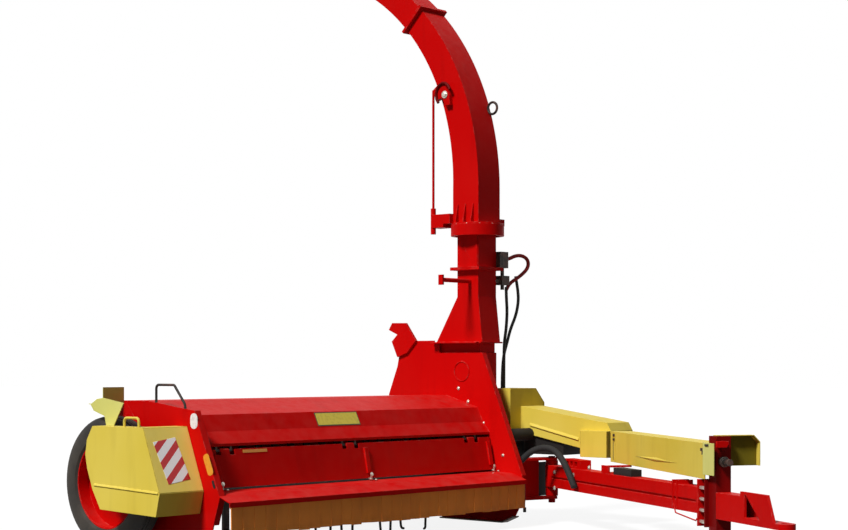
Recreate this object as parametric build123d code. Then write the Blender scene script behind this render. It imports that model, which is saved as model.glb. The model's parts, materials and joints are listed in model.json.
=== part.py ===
from build123d import *

import math
import os

# Trailed flail forage harvester, in millimetres. The machine stands on its two tyres and its
# parking jack. +Z is up, the front faces -Y and the rotor lies along X, so +X is the machine's
# left side, where the drawbar and the discharge spout are.
# While it is laid out, X = 0 is the outer face of the right side plate, Y = 0 the front edge of
# the feed lip and Z = 0 the ground. At the end everything moves to the middle of its own box.

# ---------------------------------------------------------------- driving dimensions
# Header shell
WORK_WIDTH = 2460.0  # outer face of the right plate to the inner face of the left plate
PLATE = 8.0
SHEET = 5.0
ROOF_Z = 815.0
ROOF_REAR_Y = 875.0
ROOF_FRONT_Y = 667.0
BROW_Y = 400.0
BROW_Z = 740.0
LEDGE_REAR_Y = 355.0
LEDGE_REAR_Z = 650.0
LEDGE_FRONT_Y = 300.0
LEDGE_FRONT_Z = 585.0
LEDGE_RIM = 14.0
REAR_WALL_LIP = 15.0
REAR_WALL_FOOT_Y = 1095.0
REAR_WALL_FOOT_Z = 470.0
TROUGH_LIP_Y = 975.0
TROUGH_LIP_Z = 330.0

# Side plates
NOSE_Y = 34.0
NOSE_Z = 320.0
RIGHT_NOSE_Y = 80.0
RIGHT_NOSE_Z = 315.0
RIGHT_CHIN_Y = 130.0
RIGHT_CHIN_Z = 168.0
CHEEK_TOP_Y = 281.0
CHEEK_TOP_Z = 769.0
SKID_FRONT_Y = 180.0
SKID_REAR_Y = 700.0
SKID_GROUND_GAP = 17.0
SKID_THICK = 8.0
SKID_WIDTH = 60.0
FRONT_FLANGE_WIDTH = 40.0
TALL_FLANGE_WIDTH = 40.0
TALL_TOP_Z = 1090.0
TALL_TOP_Y = 361.0
TALL_REAR_TOP_Z = 1170.0
TALL_REAR_Y = 1175.0

# Feed lip and strip curtain
LIP_FRONT_Z = 293.0
LIP_EDGE = 26.0
LIP_BEND_Y = 107.0
LIP_BEND_Z = 332.0
LIP_REAR_Y = 262.0
STRIP_COUNT = 20
STRIP_GAP = 2.0
STRIP_THICK = 6.0
STRIP_FOOT_Z = 115.0
STRIP_GRIP = 18.0

# Front door
DOOR_FOOT_Y = 250.0
DOOR_FOOT_Z = 350.0
HINGE_DROP = 22.0
HINGE_PIN_R = 7.0
HINGE_BARREL_R = 12.0
HINGE_BARREL_LENGTH = 60.0
HINGE_PIN_LENGTH = 120.0
HINGE_RIGHT_INSET = 225.0
HINGE_LEFT_INSET = 190.0
HINGE_MIDDLE_STEP = -40.0  # from the header's middle
RUNNING_GAP = 0.3
DOOR_SIDE_GAP = 8.0
STRAP_ROOM = 8.0  # beside the hinge straps, where the door sheet is notched
NOTCH_DEPTH = 24.0
LATCH_WIDTH = 30.0
LATCH_THICK = 12.0
LATCH_HEIGHT = 150.0

# Rotor
ROTOR_Y = 605.0
ROTOR_Z = 372.0
FLAIL_TIP_R = 325.0
ROTOR_TUBE_R = 90.0
ROTOR_WALL = 9.0
ROTOR_END_DISC = 14.0
ROTOR_SHAFT_R = 25.0
ROTOR_END_GAP = 40.0
FLAIL_ROWS = 4
FLAILS_PER_ROW = 18
FLAIL_THICK = 14.0
FLAIL_WIDTH = 46.0
FLAIL_FOOT = 62.0
FLAIL_PIN_R = 6.0
LUG_HEIGHT = 40.0
LUG_WIDTH = 40.0
LUG_THICK = 10.0
LUG_GAP = 1.0
BEARING_R = 62.0
BEARING_LENGTH = 30.0

# Wheels
TYRE_R = 366.0
TYRE_WIDTH = 145.0
RIM_R = 258.0
RIM_THICK = 7.0
RIM_DISH = 46.0
WHEEL_Y = 830.0
WHEEL_GAP = 32.0
STUB_R = 22.0
HUB_R = 52.0
HUB_LENGTH = 96.0
ARM_THICK = 16.0
ARM_WIDTH = 80.0
ARM_GAP = 8.0
AXLE_TUBE_R = 38.0
AXLE_WALL = 7.0
AXLE_TUBE_Y = 1165.0
AXLE_TUBE_Z = 470.0

# Blower casing, hopper and neck
CASING_Y = 700.0
CASING_Z = 790.0
CASING_R = 295.0
CASING_WIDTH = 170.0
DUCT_FRONT_Y = 390.0
DUCT_REAR_Y = 760.0
THROAT_INSET = 17.0
HOPPER_Z = 1150.0
HOPPER_FLANGE = 20.0
FLANGE_THICK = 10.0
NECK_FRONT_Y = 400.0
NECK_DEPTH = 176.0
NECK_WIDTH = 178.0
NECK_X = 8.0  # neck's right face, beyond the left plate's inner face
NECK_FOOT_Z = 1450.0
NECK_FLANGE_Z = 1620.0
COLLAR_Z = 1850.0
COLLAR_THICK = 12.0
LOCK_R = 14.0
LOCK_REACH = 272.0
VALVE_HEIGHT = 90.0
COLLAR_R = 160.0

# Spout
TURRET_X = 100.0  # swivel axis, beyond the left plate's inner face
TURRET_Y = 484.0
TURRET_R = 172.0
TURRET_TOP_Z = 1915.0
TURRET_BORE_R = 86.0
TURRET_LIP = 8.0
SPOUT_X = -2.0
SPOUT_WIDTH = 214.0
SPOUT_FRONT_Y = 390.0
SPOUT_DEPTH = 215.0
SPOUT_TIP_DEPTH = 140.0
SPOUT_R = 1700.0
SPOUT_SPRING_Z = 2150.0
SPOUT_JOINT_DEG = 45.0
SPOUT_BRACKET_DEG = 23.5
SPOUT_TIP_DEG = 84.0
SPOUT_FLANGE = 24.0
RIB_REACH = 26.0
RIB_HEIGHT = 120.0
FLAP_LENGTH = 360.0
FLAP_DROP_DEG = 6.0
FLAP_PIN_R = 8.0

# Spout control rod
ROD_Y = 762.0
ROD_R = 8.0
ROD_FOOT_Z = 2030.0
ROD_TOP_Z = 2800.0
SCREW_R = 17.0
SCREW_LOW_Z = 1862.0
CRANK_ARM_LOW_Z = 1902.0
CRANK_ARM_HIGH_Z = 1988.0

# Drawbar
PIVOT_X = 400.0  # swing axis, beyond the left plate's inner face
PIVOT_Y = 110.0
PIVOT_PIN_R = 22.0
SWING_EAR_REAR = 220.0
PIVOT_BARREL_R = 40.0
PIVOT_LOW_Z = 150.0
PIVOT_HIGH_Z = 400.0
EAR_THICK = 16.0
EAR_GAP = 3.0
HOSE_R = 21.0
PARK_ANGLE = 30.3  # the drawbar's turn towards the machine's middle in its parked place
BEAM_LOW_Z = 230.0
BEAM_HEIGHT = 138.0
BEAM_WIDTH = 90.0
BEAM_LENGTH = 2175.0
BEAM_SIDE_WALL = 18.0
GROOVE_LOW_Z = 286.0
GROOVE_HIGH_Z = 300.0
GROOVE_DEPTH = 10.0
END_PLATE_THICK = 12.0
END_PLATE_LOW_Z = 165.0
END_PLATE_HIGH_Z = 411.0
END_PLATE_IN = 54.0  # reach to the beam's inner side
END_PLATE_OUT = 70.0
SPACER_GAP = 70.0
SPACER_R = 10.0
SPACER_INSET = 16.0
SPACER_LOW_Z = 190.0
SPACER_PITCH = 59.0
SPACER_ROWS = 4
HEAD_SIDE = 10.0  # the hitch head's side step from the beam
HEAD_LOW_Z = 215.0
HEAD_HIGH_Z = 352.0
HEAD_WIDTH = 90.0
HEAD_FRONT_L = 2636.0
WEB_FRONT_L = 2955.0
WEB_RISE = 32.0
WEB_THICK = 14.0
TONGUE_L = 3000.0
TONGUE_THICK = 30.0
TONGUE_EYE_R = 26.0
DRIVE_TURN = 7.0  # the drive line's turn against the beam
DRIVE_Z = 510.0
POST_DEPTH = 84.0
POST_WIDTH = 84.0
POST_LOW_Z = 150.0
POST_TOP_Z = 642.0
BOSS_R = 27.0
BOSS_Z = 592.0
BOSS_LENGTH = 18.0
SHAFT_R = 26.0
SHOULDER_L = 72.0  # the thick part's reach ahead of the post's middle
INPUT_STUB_R = 17.4
INPUT_STUB_LENGTH = 75.0
GUARD_WIDTH = 130.0
GUARD_LOW_Z = 415.0
GUARD_HIGH_Z = 603.0
GUARD_REAR_L = 590.0
GUARD_POST_GAP = 7.0
SEAT_LENGTH = 50.0
SHIELD_REACH = 182.0
SHIELD_LOW_Z = 485.0
SHIELD_DEPTH = 40.0
SHIELD_SET = 20.0  # the hood's reach behind the post's middle
SHIELD_CHAMFER = 36.0
STAND_L = 900.0
STAND_LENGTH = 100.0
STAND_SHEET = 12.0
ANCHOR_L = 285.0
ANCHOR_LENGTH = 270.0
ANCHOR_HEIGHT = 56.0
REST_L = 1050.0
REST_LENGTH = 250.0
REST_HEIGHT = 40.0
GUARD_SHEET = 4.0
JACK_R = 24.0
JACK_TOP_Z = 300.0
JACK_TRAVEL = 130.0
JACK_FOOT = 170.0
JACK_FOOT_THICK = 12.0

# Covers on the left of the machine
COVER_RIGHT_X = 186.0  # beyond the left plate's inner face
COVER_LEFT_X = 540.0
COVER_FRONT_Y = 280.0
COVER_REAR_Y = 480.0
COVER_LOW_Z = 520.0
COVER_HIGH_Z = 860.0
TUNNEL_RIGHT_X = 290.0
TUNNEL_LEFT_X = 520.0
TUNNEL_FRONT_Y = -438.0
TUNNEL_REAR_TOP_Z = 745.0
TUNNEL_FRONT_TOP_Z = 600.0
TUNNEL_RIDGE_Z = 650.0
TUNNEL_REAR_LOW_Z = 578.0
TUNNEL_STEP_Z = 482.0
TUNNEL_FRONT_LOW_Z = 436.0
BULGE_LENGTH = 200.0
BULGE_DEPTH = 48.0
GEARBOX_Y = 210.0
GEARBOX_Z = 565.0
GEARBOX_TUBE_R = 40.0
GEARBOX_HALF = 98.0
GEARBOX_FRONT_Y = -55.0
GEARBOX_REAR_Y = 265.0
GEARBOX_LOW_Z = 438.0
GEARBOX_HIGH_Z = 655.0

# Belt guard on the right of the machine
BELT_GUARD_DEPTH = 300.0
BELT_GUARD_GAP = 2.0
GUARD_TOP_Z = 684.0
GUARD_TOP_FRONT_Y = 340.0
GUARD_NOSE_Y = 205.0
GUARD_NOSE_Z = 345.0
GUARD_FOOT_Z = 234.0
GUARD_REAR_Y = 828.0
GUARD_STRAP_WIDTH = 30.0
HANDLE_FRONT_Y = 400.0
HANDLE_LENGTH = 120.0
HANDLE_HEIGHT = 48.0
HANDLE_R = 7.0
WARNING_PLATE_INSET = 57.0
WARNING_PLATE_WIDTH = 156.0
WARNING_PLATE_TURN = 8.0
BRACKET_WIDTH = 144.0  # the folded bracket behind the guard
BRACKET_SIDE_X = 204.0
BRACKET_Y = 875.0
BRACKET_LOW_Z = 796.0
BRACKET_HIGH_Z = 889.0

OUT = "parts"


# ---------------------------------------------------------------- helpers
def outline_x(points):
    """A closed face in the YZ plane from (y, z) points."""
    return Plane.YZ * make_face(Polyline(*points, close=True))


def prism_x(points, x_low, x_high):
    """A prism along X with a (y, z) outline."""
    return Pos(x_low, 0, 0) * extrude(outline_x(points), amount=x_high - x_low)


def prism_z(points, z_low, z_high):
    """A prism along Z with an (x, y) outline."""
    face = make_face(Polyline(*points, close=True))
    return Pos(0, 0, z_low) * extrude(face, amount=z_high - z_low)


def block(x_low, x_high, y_low, y_high, z_low, z_high):
    """A box between two corners."""
    size = (x_high - x_low, y_high - y_low, z_high - z_low)
    middle = ((x_low + x_high) / 2, (y_low + y_high) / 2, (z_low + z_high) / 2)
    return Pos(*middle) * Box(*size)


def rod_x(y, z, radius, x_low, x_high):
    """A round bar along X."""
    return Pos((x_low + x_high) / 2, y, z) * Rot(0, 90, 0) * Cylinder(radius, x_high - x_low)


def rod_z(x, y, radius, z_low, z_high):
    """A round bar along Z."""
    return Pos(x, y, (z_low + z_high) / 2) * Cylinder(radius, z_high - z_low)


def offset_line(points, distance):
    """The open line of (y, z) points moved sideways, to its right hand, with mitred corners."""
    moved = []
    last = len(points) - 1
    for index, (y, z) in enumerate(points):
        normals = []
        for start, end in ((index - 1, index), (index, index + 1)):
            if start < 0 or end > last:
                continue
            run_y = points[end][0] - points[start][0]
            run_z = points[end][1] - points[start][1]
            run = math.hypot(run_y, run_z)
            normals.append((run_z / run, -run_y / run))
        normal_y = sum(normal[0] for normal in normals)
        normal_z = sum(normal[1] for normal in normals)
        length = math.hypot(normal_y, normal_z)
        cosine = (normal_y * normals[0][0] + normal_z * normals[0][1]) / length
        scale = distance / cosine / length
        moved.append((y + normal_y * scale, z + normal_z * scale))
    return moved


def bent_sheet(points, thickness, x_low, x_high):
    """A folded sheet along X: its faces are the (y, z) line and its copy at the right hand."""
    back = offset_line(points, thickness)
    return prism_x(list(points) + back[::-1], x_low, x_high)


def bar_along(points, radius):
    """A round bar bent along (x, y, z) points, with arcs at the corners."""
    path = FilletPolyline(*points, radius=radius * 3)
    start = path.position_at(0)
    section = Plane(origin=start, z_dir=path.tangent_at(0)) * Circle(radius)
    return sweep(section, path=path)


def joined(*shapes):
    """All shapes fused to one."""
    result = shapes[0]
    for shape in shapes[1:]:
        result = result + shape
    return result


# ---------------------------------------------------------------- header
LEFT_X = WORK_WIDTH
CASING_RIGHT_X = LEFT_X + PLATE
CASING_LEFT_X = CASING_RIGHT_X + CASING_WIDTH
SKID_Z = SKID_GROUND_GAP + SKID_THICK
HOOD_LINE = (
    (ROOF_REAR_Y, ROOF_Z),
    (ROOF_FRONT_Y, ROOF_Z),
    (BROW_Y, BROW_Z),
    (LEDGE_REAR_Y, LEDGE_REAR_Z),
    (LEDGE_FRONT_Y, LEDGE_FRONT_Z),
    (LEDGE_FRONT_Y, LEDGE_FRONT_Z - LEDGE_RIM),
)
CHEEK_TOP = ((CHEEK_TOP_Y, CHEEK_TOP_Z), (ROOF_FRONT_Y, ROOF_Z), (ROOF_REAR_Y, ROOF_Z))
LOWER_CHEEK = (
    (REAR_WALL_FOOT_Y, REAR_WALL_FOOT_Z),
    (TROUGH_LIP_Y + 5, TROUGH_LIP_Z - 30),
    (SKID_REAR_Y, SKID_Z),
    (SKID_FRONT_Y, SKID_Z),
    (NOSE_Y + 56, SKID_Z + 38),
    (NOSE_Y + 6, SKID_Z + 125),
    (NOSE_Y, NOSE_Z),
)


def cheek_flange(x_low, x_high, edge):
    """The flange along the sloping front edge of a side plate."""
    return bent_sheet(edge, PLATE, x_low, x_high)


def side_plate_right():
    """Right end plate with its wide front flange."""
    front = ((RIGHT_CHIN_Y, RIGHT_CHIN_Z), (RIGHT_NOSE_Y, RIGHT_NOSE_Z))
    plate = prism_x(CHEEK_TOP + LOWER_CHEEK[:-3] + front, 0, PLATE)
    plate = plate + cheek_flange(0, FRONT_FLANGE_WIDTH, front + CHEEK_TOP[:1])
    return plate - rod_x(ROTOR_Y, ROTOR_Z, ROTOR_SHAFT_R + PLATE, -1, PLATE + 1)


def side_plate_left():
    """Tall left end plate that also closes the blower casing."""
    outline = (
        (TALL_TOP_Y, TALL_TOP_Z),
        (DUCT_REAR_Y - 34, TALL_TOP_Z),
        (DUCT_REAR_Y - 34, HOPPER_Z),
        (DUCT_REAR_Y + 10, HOPPER_Z),
        (DUCT_REAR_Y + 10, TALL_REAR_TOP_Z),
        (TALL_REAR_Y - 175, TALL_REAR_TOP_Z),
        (TALL_REAR_Y - 90, TALL_REAR_TOP_Z - 110),
        (TALL_REAR_Y - 78, TALL_REAR_TOP_Z - 167),
        (TALL_REAR_Y, ROOF_Z),
        (TALL_REAR_Y - 30, ROOF_Z - 170),
    ) + LOWER_CHEEK
    plate = prism_x(outline, LEFT_X, LEFT_X + PLATE)
    reach = LEFT_X + TALL_FLANGE_WIDTH
    flange = cheek_flange(LEFT_X, reach, LOWER_CHEEK[-2:] + ((TALL_TOP_Y, TALL_TOP_Z),))
    plate = plate + flange
    return plate - rod_x(ROTOR_Y, ROTOR_Z, ROTOR_SHAFT_R + PLATE, LEFT_X - 1, LEFT_X + PLATE + 1)


def skids():
    """Flat runners under both side plates."""
    line = (LOWER_CHEEK[4], LOWER_CHEEK[3], LOWER_CHEEK[2])
    right = bent_sheet(line, SKID_THICK, PLATE / 2 - SKID_WIDTH / 2, PLATE / 2 + SKID_WIDTH / 2)
    return [right, Pos(LEFT_X, 0, 0) * right]


def roof_hood():
    """Roof, brow and ledge, folded from one sheet."""
    return bent_sheet(HOOD_LINE[::-1], SHEET, PLATE, LEFT_X)


def rear_trough():
    """Rear wall that turns under into the auger trough."""
    line = (
        (ROOF_REAR_Y, ROOF_Z - SHEET),
        (ROOF_REAR_Y, ROOF_Z - REAR_WALL_LIP),
        (REAR_WALL_FOOT_Y, REAR_WALL_FOOT_Z),
        (REAR_WALL_FOOT_Y - 12, REAR_WALL_FOOT_Z - 70),
        (REAR_WALL_FOOT_Y - 50, TROUGH_LIP_Z + 14),
        (TROUGH_LIP_Y, TROUGH_LIP_Z),
    )
    return bent_sheet(line, SHEET, PLATE, LEFT_X)


def feed_lip():
    """Sloping lip under the front door, folded down at its front edge."""
    line = (
        (0, LIP_FRONT_Z - LIP_EDGE),
        (0, LIP_FRONT_Z),
        (LIP_BEND_Y, LIP_BEND_Z),
        (LIP_REAR_Y, LIP_BEND_Z + 6),
    )
    lip = bent_sheet(line, SHEET, 0, LEFT_X + PLATE)
    return lip - side_plate_right() - side_plate_left()


def strip_curtain():
    """Rubber strips clamped behind the lip's front edge."""
    x_low = PLATE + 6
    pitch = (LEFT_X - 6 - x_low) / STRIP_COUNT
    top = LIP_FRONT_Z - LIP_EDGE + STRIP_GRIP
    strips = []
    for index in range(STRIP_COUNT):
        start = x_low + index * pitch
        strips.append(
            block(start, start + pitch - STRIP_GAP, SHEET, SHEET + STRIP_THICK, STRIP_FOOT_Z, top)
        )
    return strips


# ---------------------------------------------------------------- front door
HINGE_XS = (HINGE_RIGHT_INSET, WORK_WIDTH / 2 + HINGE_MIDDLE_STEP, WORK_WIDTH - HINGE_LEFT_INSET)
HINGE_Y = LEDGE_FRONT_Y + 8
HINGE_Z = LEDGE_FRONT_Z - LEDGE_RIM - HINGE_DROP


def door_hinge_pins():
    """Hinge pins under the ledge, each held at both ends by a strap."""
    pins = []
    for x in HINGE_XS:
        low = x - HINGE_PIN_LENGTH / 2
        high = x + HINGE_PIN_LENGTH / 2
        pin = rod_x(HINGE_Y, HINGE_Z, HINGE_PIN_R, low, high)
        for start in (low, high - 2 * HINGE_PIN_R):
            pin = pin + block(
                start,
                start + 2 * HINGE_PIN_R,
                LEDGE_FRONT_Y + SHEET,
                HINGE_Y + HINGE_PIN_R,
                HINGE_Z,
                LEDGE_FRONT_Z - LEDGE_RIM + 4,
            )
        pins.append(pin)
    return pins


def front_door():
    """Door sheet with hinge barrels and latch bars."""
    x_low = FRONT_FLANGE_WIDTH + DOOR_SIDE_GAP
    x_high = LEFT_X - DOOR_SIDE_GAP
    line = ((DOOR_FOOT_Y, DOOR_FOOT_Z), (LEDGE_FRONT_Y - 7, HINGE_Z + 6))
    door = bent_sheet(line, SHEET, x_low, x_high)
    for x in HINGE_XS:
        low = x - HINGE_BARREL_LENGTH / 2
        high = x + HINGE_BARREL_LENGTH / 2
        door = door + rod_x(HINGE_Y, HINGE_Z, HINGE_BARREL_R, low, high)
        door = door - rod_x(HINGE_Y, HINGE_Z, HINGE_PIN_R + RUNNING_GAP, low - 70, high + 70)
        reach = HINGE_PIN_LENGTH / 2 + STRAP_ROOM
        for start, end in ((x - reach, low), (high, x + reach)):
            door = door - block(start, end, 0, LEDGE_FRONT_Y + 20, HINGE_Z - NOTCH_DEPTH, HINGE_Z + 30)
    return door


def door_latches():
    """Vertical latch bars on the door's front."""
    rise_y = LEDGE_FRONT_Y - 7 - DOOR_FOOT_Y
    rise_z = HINGE_Z + 6 - DOOR_FOOT_Z
    length = math.hypot(rise_y, rise_z)
    foot = 30.0 / length
    head = (30.0 + LATCH_HEIGHT) / length
    line = (
        (DOOR_FOOT_Y + rise_y * head, DOOR_FOOT_Z + rise_z * head),
        (DOOR_FOOT_Y + rise_y * foot, DOOR_FOOT_Z + rise_z * foot),
    )
    bars = []
    for x in (FRONT_FLANGE_WIDTH + 110, WORK_WIDTH / 2 + 76, LEFT_X - 40):
        bars.append(bent_sheet(line, LATCH_THICK, x - LATCH_WIDTH / 2, x + LATCH_WIDTH / 2))
    return bars


# ---------------------------------------------------------------- rotor
ROTOR_LOW_X = PLATE + ROTOR_END_GAP
ROTOR_HIGH_X = LEFT_X - ROTOR_END_GAP
FLAIL_ROOT_R = ROTOR_TUBE_R + LUG_HEIGHT / 2


def flail_places():
    """Turn about X and place along X of every flail."""
    pitch = (ROTOR_HIGH_X - ROTOR_LOW_X - 2 * FLAIL_WIDTH) / FLAILS_PER_ROW
    places = []
    for row in range(FLAIL_ROWS):
        for index in range(FLAILS_PER_ROW):
            x = ROTOR_LOW_X + FLAIL_WIDTH + pitch * (index + 0.25 + 0.5 * (row % 2))
            places.append((360.0 / FLAIL_ROWS * row, x))
    return places


def flail():
    """Hooked flail on its pin, with the lugs on both sides, for a tube along X through zero."""
    outline = (
        (-FLAIL_THICK / 2, ROTOR_TUBE_R + 2),
        (FLAIL_THICK / 2, ROTOR_TUBE_R + 2),
        (FLAIL_THICK / 2, FLAIL_TIP_R - 34),
        (FLAIL_FOOT, FLAIL_TIP_R - 26),
        (FLAIL_FOOT - 4, FLAIL_TIP_R - 14),
        (FLAIL_THICK, FLAIL_TIP_R - 1),
        (-FLAIL_THICK / 2, FLAIL_TIP_R - 12),
    )
    half = FLAIL_WIDTH / 2
    outer = half + LUG_GAP + LUG_THICK
    shape = prism_x(outline, -half, half) + rod_x(0, FLAIL_ROOT_R, FLAIL_PIN_R, -outer, outer)
    for low in (-outer, half + LUG_GAP):
        lug = block(
            low, low + LUG_THICK, -LUG_WIDTH / 2, LUG_WIDTH / 2, ROTOR_TUBE_R - 5, ROTOR_TUBE_R + LUG_HEIGHT
        )
        shape = shape + lug
    return shape


def flail_rotor():
    """Rotor tube with its shaft ends and rows of hooked flails between lugs."""
    tube = rod_x(ROTOR_Y, ROTOR_Z, ROTOR_TUBE_R, ROTOR_LOW_X, ROTOR_HIGH_X)
    room_r = ROTOR_TUBE_R - ROTOR_WALL
    end = ROTOR_END_DISC
    tube = tube - rod_x(ROTOR_Y, ROTOR_Z, room_r, ROTOR_LOW_X + end, ROTOR_HIGH_X - end)
    right_end = rod_x(ROTOR_Y, ROTOR_Z, ROTOR_SHAFT_R, -BEARING_LENGTH, ROTOR_LOW_X + end)
    left_tip = LEFT_X + PLATE + BEARING_LENGTH
    left_end = rod_x(ROTOR_Y, ROTOR_Z, ROTOR_SHAFT_R, ROTOR_HIGH_X - end, left_tip)
    one = flail()
    rows = [Pos(x, ROTOR_Y, ROTOR_Z) * Rot(turn, 0, 0) * one for turn, x in flail_places()]
    return tube + right_end + left_end + rows


def rotor_bearings():
    """Flanged bearings of the rotor shaft on both side plates."""
    bore = rod_x(ROTOR_Y, ROTOR_Z, ROTOR_SHAFT_R + RUNNING_GAP, -200, WORK_WIDTH + 200)
    right = rod_x(ROTOR_Y, ROTOR_Z, BEARING_R, -BEARING_LENGTH, 0) - bore
    start = LEFT_X + PLATE
    left = rod_x(ROTOR_Y, ROTOR_Z, BEARING_R, start, start + BEARING_LENGTH) - bore
    return [right, left]


# ---------------------------------------------------------------- wheels and axle
RIGHT_WHEEL_X = -WHEEL_GAP - TYRE_WIDTH / 2
LEFT_WHEEL_X = CASING_LEFT_X + WHEEL_GAP + TYRE_WIDTH / 2


def tyre(x):
    """Ribbed implement tyre round the wheel's axis."""
    half = TYRE_WIDTH / 2
    points = (
        (RIM_R - 8, -half + 16),
        (RIM_R + 22, -half),
        (TYRE_R - 42, -half + 2),
        (TYRE_R - 10, -half + 22),
        (TYRE_R, -half + 48),
        (TYRE_R, half - 48),
        (TYRE_R - 10, half - 22),
        (TYRE_R - 42, half - 2),
        (RIM_R + 22, half),
        (RIM_R - 8, half - 16),
    )
    face = Plane.XZ * make_face(Polyline(*points, close=True))
    ring = revolve(face, axis=Axis.Z)
    return Pos(x, WHEEL_Y, TYRE_R) * Rot(0, 90, 0) * ring


def rim(x, side):
    """Dished wheel rim with its hub; side is the outward direction along X."""
    half = TYRE_WIDTH / 2
    well = half - 16
    outer = RIM_R - 8 - RUNNING_GAP
    points = (
        (STUB_R + RUNNING_GAP, RIM_DISH - HUB_LENGTH / 2),
        (HUB_R, RIM_DISH - HUB_LENGTH / 2),
        (HUB_R, RIM_DISH - 10 - RIM_THICK),
        (outer - 60, -well + 46),
        (outer - RIM_THICK, -well + 34),
        (outer - RIM_THICK, -well),
        (outer, -well),
        (outer, well),
        (outer - RIM_THICK, well),
        (outer - RIM_THICK, -well + 34 + RIM_THICK),
        (outer - 60, -well + 46 + RIM_THICK),
        (HUB_R, RIM_DISH - 10),
        (HUB_R, RIM_DISH + HUB_LENGTH / 2),
        (STUB_R + RUNNING_GAP, RIM_DISH + HUB_LENGTH / 2),
    )
    face = Plane.XZ * make_face(Polyline(*points, close=True))
    ring = revolve(face, axis=Axis.Z)
    return Pos(x, WHEEL_Y, TYRE_R) * Rot(0, 90 * side, 0) * ring


def wheel_arm(inner_x, side, wheel_x):
    """Swing arm from the axle tube, with the stub axle that carries the wheel."""
    start = inner_x + side * ARM_GAP
    end = start + side * ARM_THICK
    low, high = min(start, end), max(start, end)
    run_y = WHEEL_Y - AXLE_TUBE_Y
    run_z = TYRE_R - AXLE_TUBE_Z
    length = math.hypot(run_y, run_z)
    across = (-run_z / length * ARM_WIDTH / 2, run_y / length * ARM_WIDTH / 2)
    bar = prism_x(
        (
            (AXLE_TUBE_Y + across[0], AXLE_TUBE_Z + across[1]),
            (WHEEL_Y + across[0], TYRE_R + across[1]),
            (WHEEL_Y - across[0], TYRE_R - across[1]),
            (AXLE_TUBE_Y - across[0], AXLE_TUBE_Z - across[1]),
        ),
        low,
        high,
    )
    bar = bar + rod_x(AXLE_TUBE_Y, AXLE_TUBE_Z, ARM_WIDTH / 2, low, high)
    bar = bar + rod_x(WHEEL_Y, TYRE_R, ARM_WIDTH / 2, low, high)
    tip = wheel_x + side * (RIM_DISH + HUB_LENGTH / 2 - 12)
    stub = rod_x(WHEEL_Y, TYRE_R, STUB_R, min(start, tip), max(start, tip))
    return bar + stub


def axle_tube():
    """Cross tube behind the trough, clamped to the rear wall."""
    low = -ARM_GAP
    high = CASING_LEFT_X + ARM_GAP
    tube = rod_x(AXLE_TUBE_Y, AXLE_TUBE_Z, AXLE_TUBE_R, low, high)
    tube = tube - rod_x(AXLE_TUBE_Y, AXLE_TUBE_Z, AXLE_TUBE_R - AXLE_WALL, low + 10, high - 10)
    foot = AXLE_TUBE_Z + AXLE_TUBE_R - AXLE_WALL
    inside = prism_x(
        (
            (ROOF_REAR_Y, ROOF_Z - REAR_WALL_LIP),
            (REAR_WALL_FOOT_Y, REAR_WALL_FOOT_Z),
            (ROOF_REAR_Y, REAR_WALL_FOOT_Z),
        ),
        0,
        LEFT_X,
    )
    for x in (PLATE + 120, WORK_WIDTH / 2, LEFT_X - 150):
        clamp = block(x - 45, x + 45, REAR_WALL_FOOT_Y - 60, AXLE_TUBE_Y, foot, AXLE_TUBE_Z + 60)
        tube = tube + (clamp - inside)
    return tube


# ---------------------------------------------------------------- belt guard
def belt_guard_line():
    """Outline of the guard's outer face."""
    return (
        (GUARD_TOP_FRONT_Y, GUARD_TOP_Z),
        (GUARD_NOSE_Y, GUARD_NOSE_Z),
        (GUARD_NOSE_Y + 30, GUARD_FOOT_Z - 9),
        (GUARD_TOP_FRONT_Y + 359, GUARD_FOOT_Z + 6),
        (GUARD_REAR_Y - 62, GUARD_FOOT_Z + 110),
        (GUARD_REAR_Y - 16, GUARD_FOOT_Z + 222),
        (GUARD_REAR_Y, GUARD_FOOT_Z + 296),
        (GUARD_REAR_Y - 14, GUARD_TOP_Z - 76),
        (GUARD_REAR_Y - 62, GUARD_TOP_Z),
    )


def belt_guard():
    """Pressed guard over the belt drive, open towards the side plate and behind its front part."""
    line = belt_guard_line()
    low = -BELT_GUARD_DEPTH
    skin = prism_x(line, low, -BELT_GUARD_GAP)
    inner = [(y, z) for y, z in offset_closed(line, -GUARD_SHEET)]
    skin = skin - prism_x(inner, low + GUARD_SHEET, 0)
    wheel_room = block(
        RIGHT_WHEEL_X - TYRE_WIDTH / 2 - 25, 0, WHEEL_Y - TYRE_R - 25, 1000, 0, 2 * TYRE_R
    )
    skin = skin - wheel_room
    front = GUARD_TOP_FRONT_Y + 5
    strap_z = GUARD_TOP_Z - 122
    straps = block(low + GUARD_SHEET, 0, front, front + GUARD_STRAP_WIDTH, strap_z - 2, strap_z + 2)
    foot = GUARD_FOOT_Z + 66
    straps = straps + block(low + GUARD_SHEET, 0, front, front + GUARD_STRAP_WIDTH, foot, foot + 4)
    return skin + straps


def offset_closed(points, distance):
    """A closed (y, z) outline moved sideways, outwards for a positive distance."""
    area = 0.0
    count = len(points)
    for index, (y, z) in enumerate(points):
        following = points[(index + 1) % count]
        area += y * following[1] - following[0] * z
    turn = 1.0 if area > 0 else -1.0
    moved = []
    for index in range(count):
        around = (points[index - 1], points[index], points[(index + 1) % count])
        moved.append(offset_line(around, distance * turn)[1])
    return moved


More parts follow.
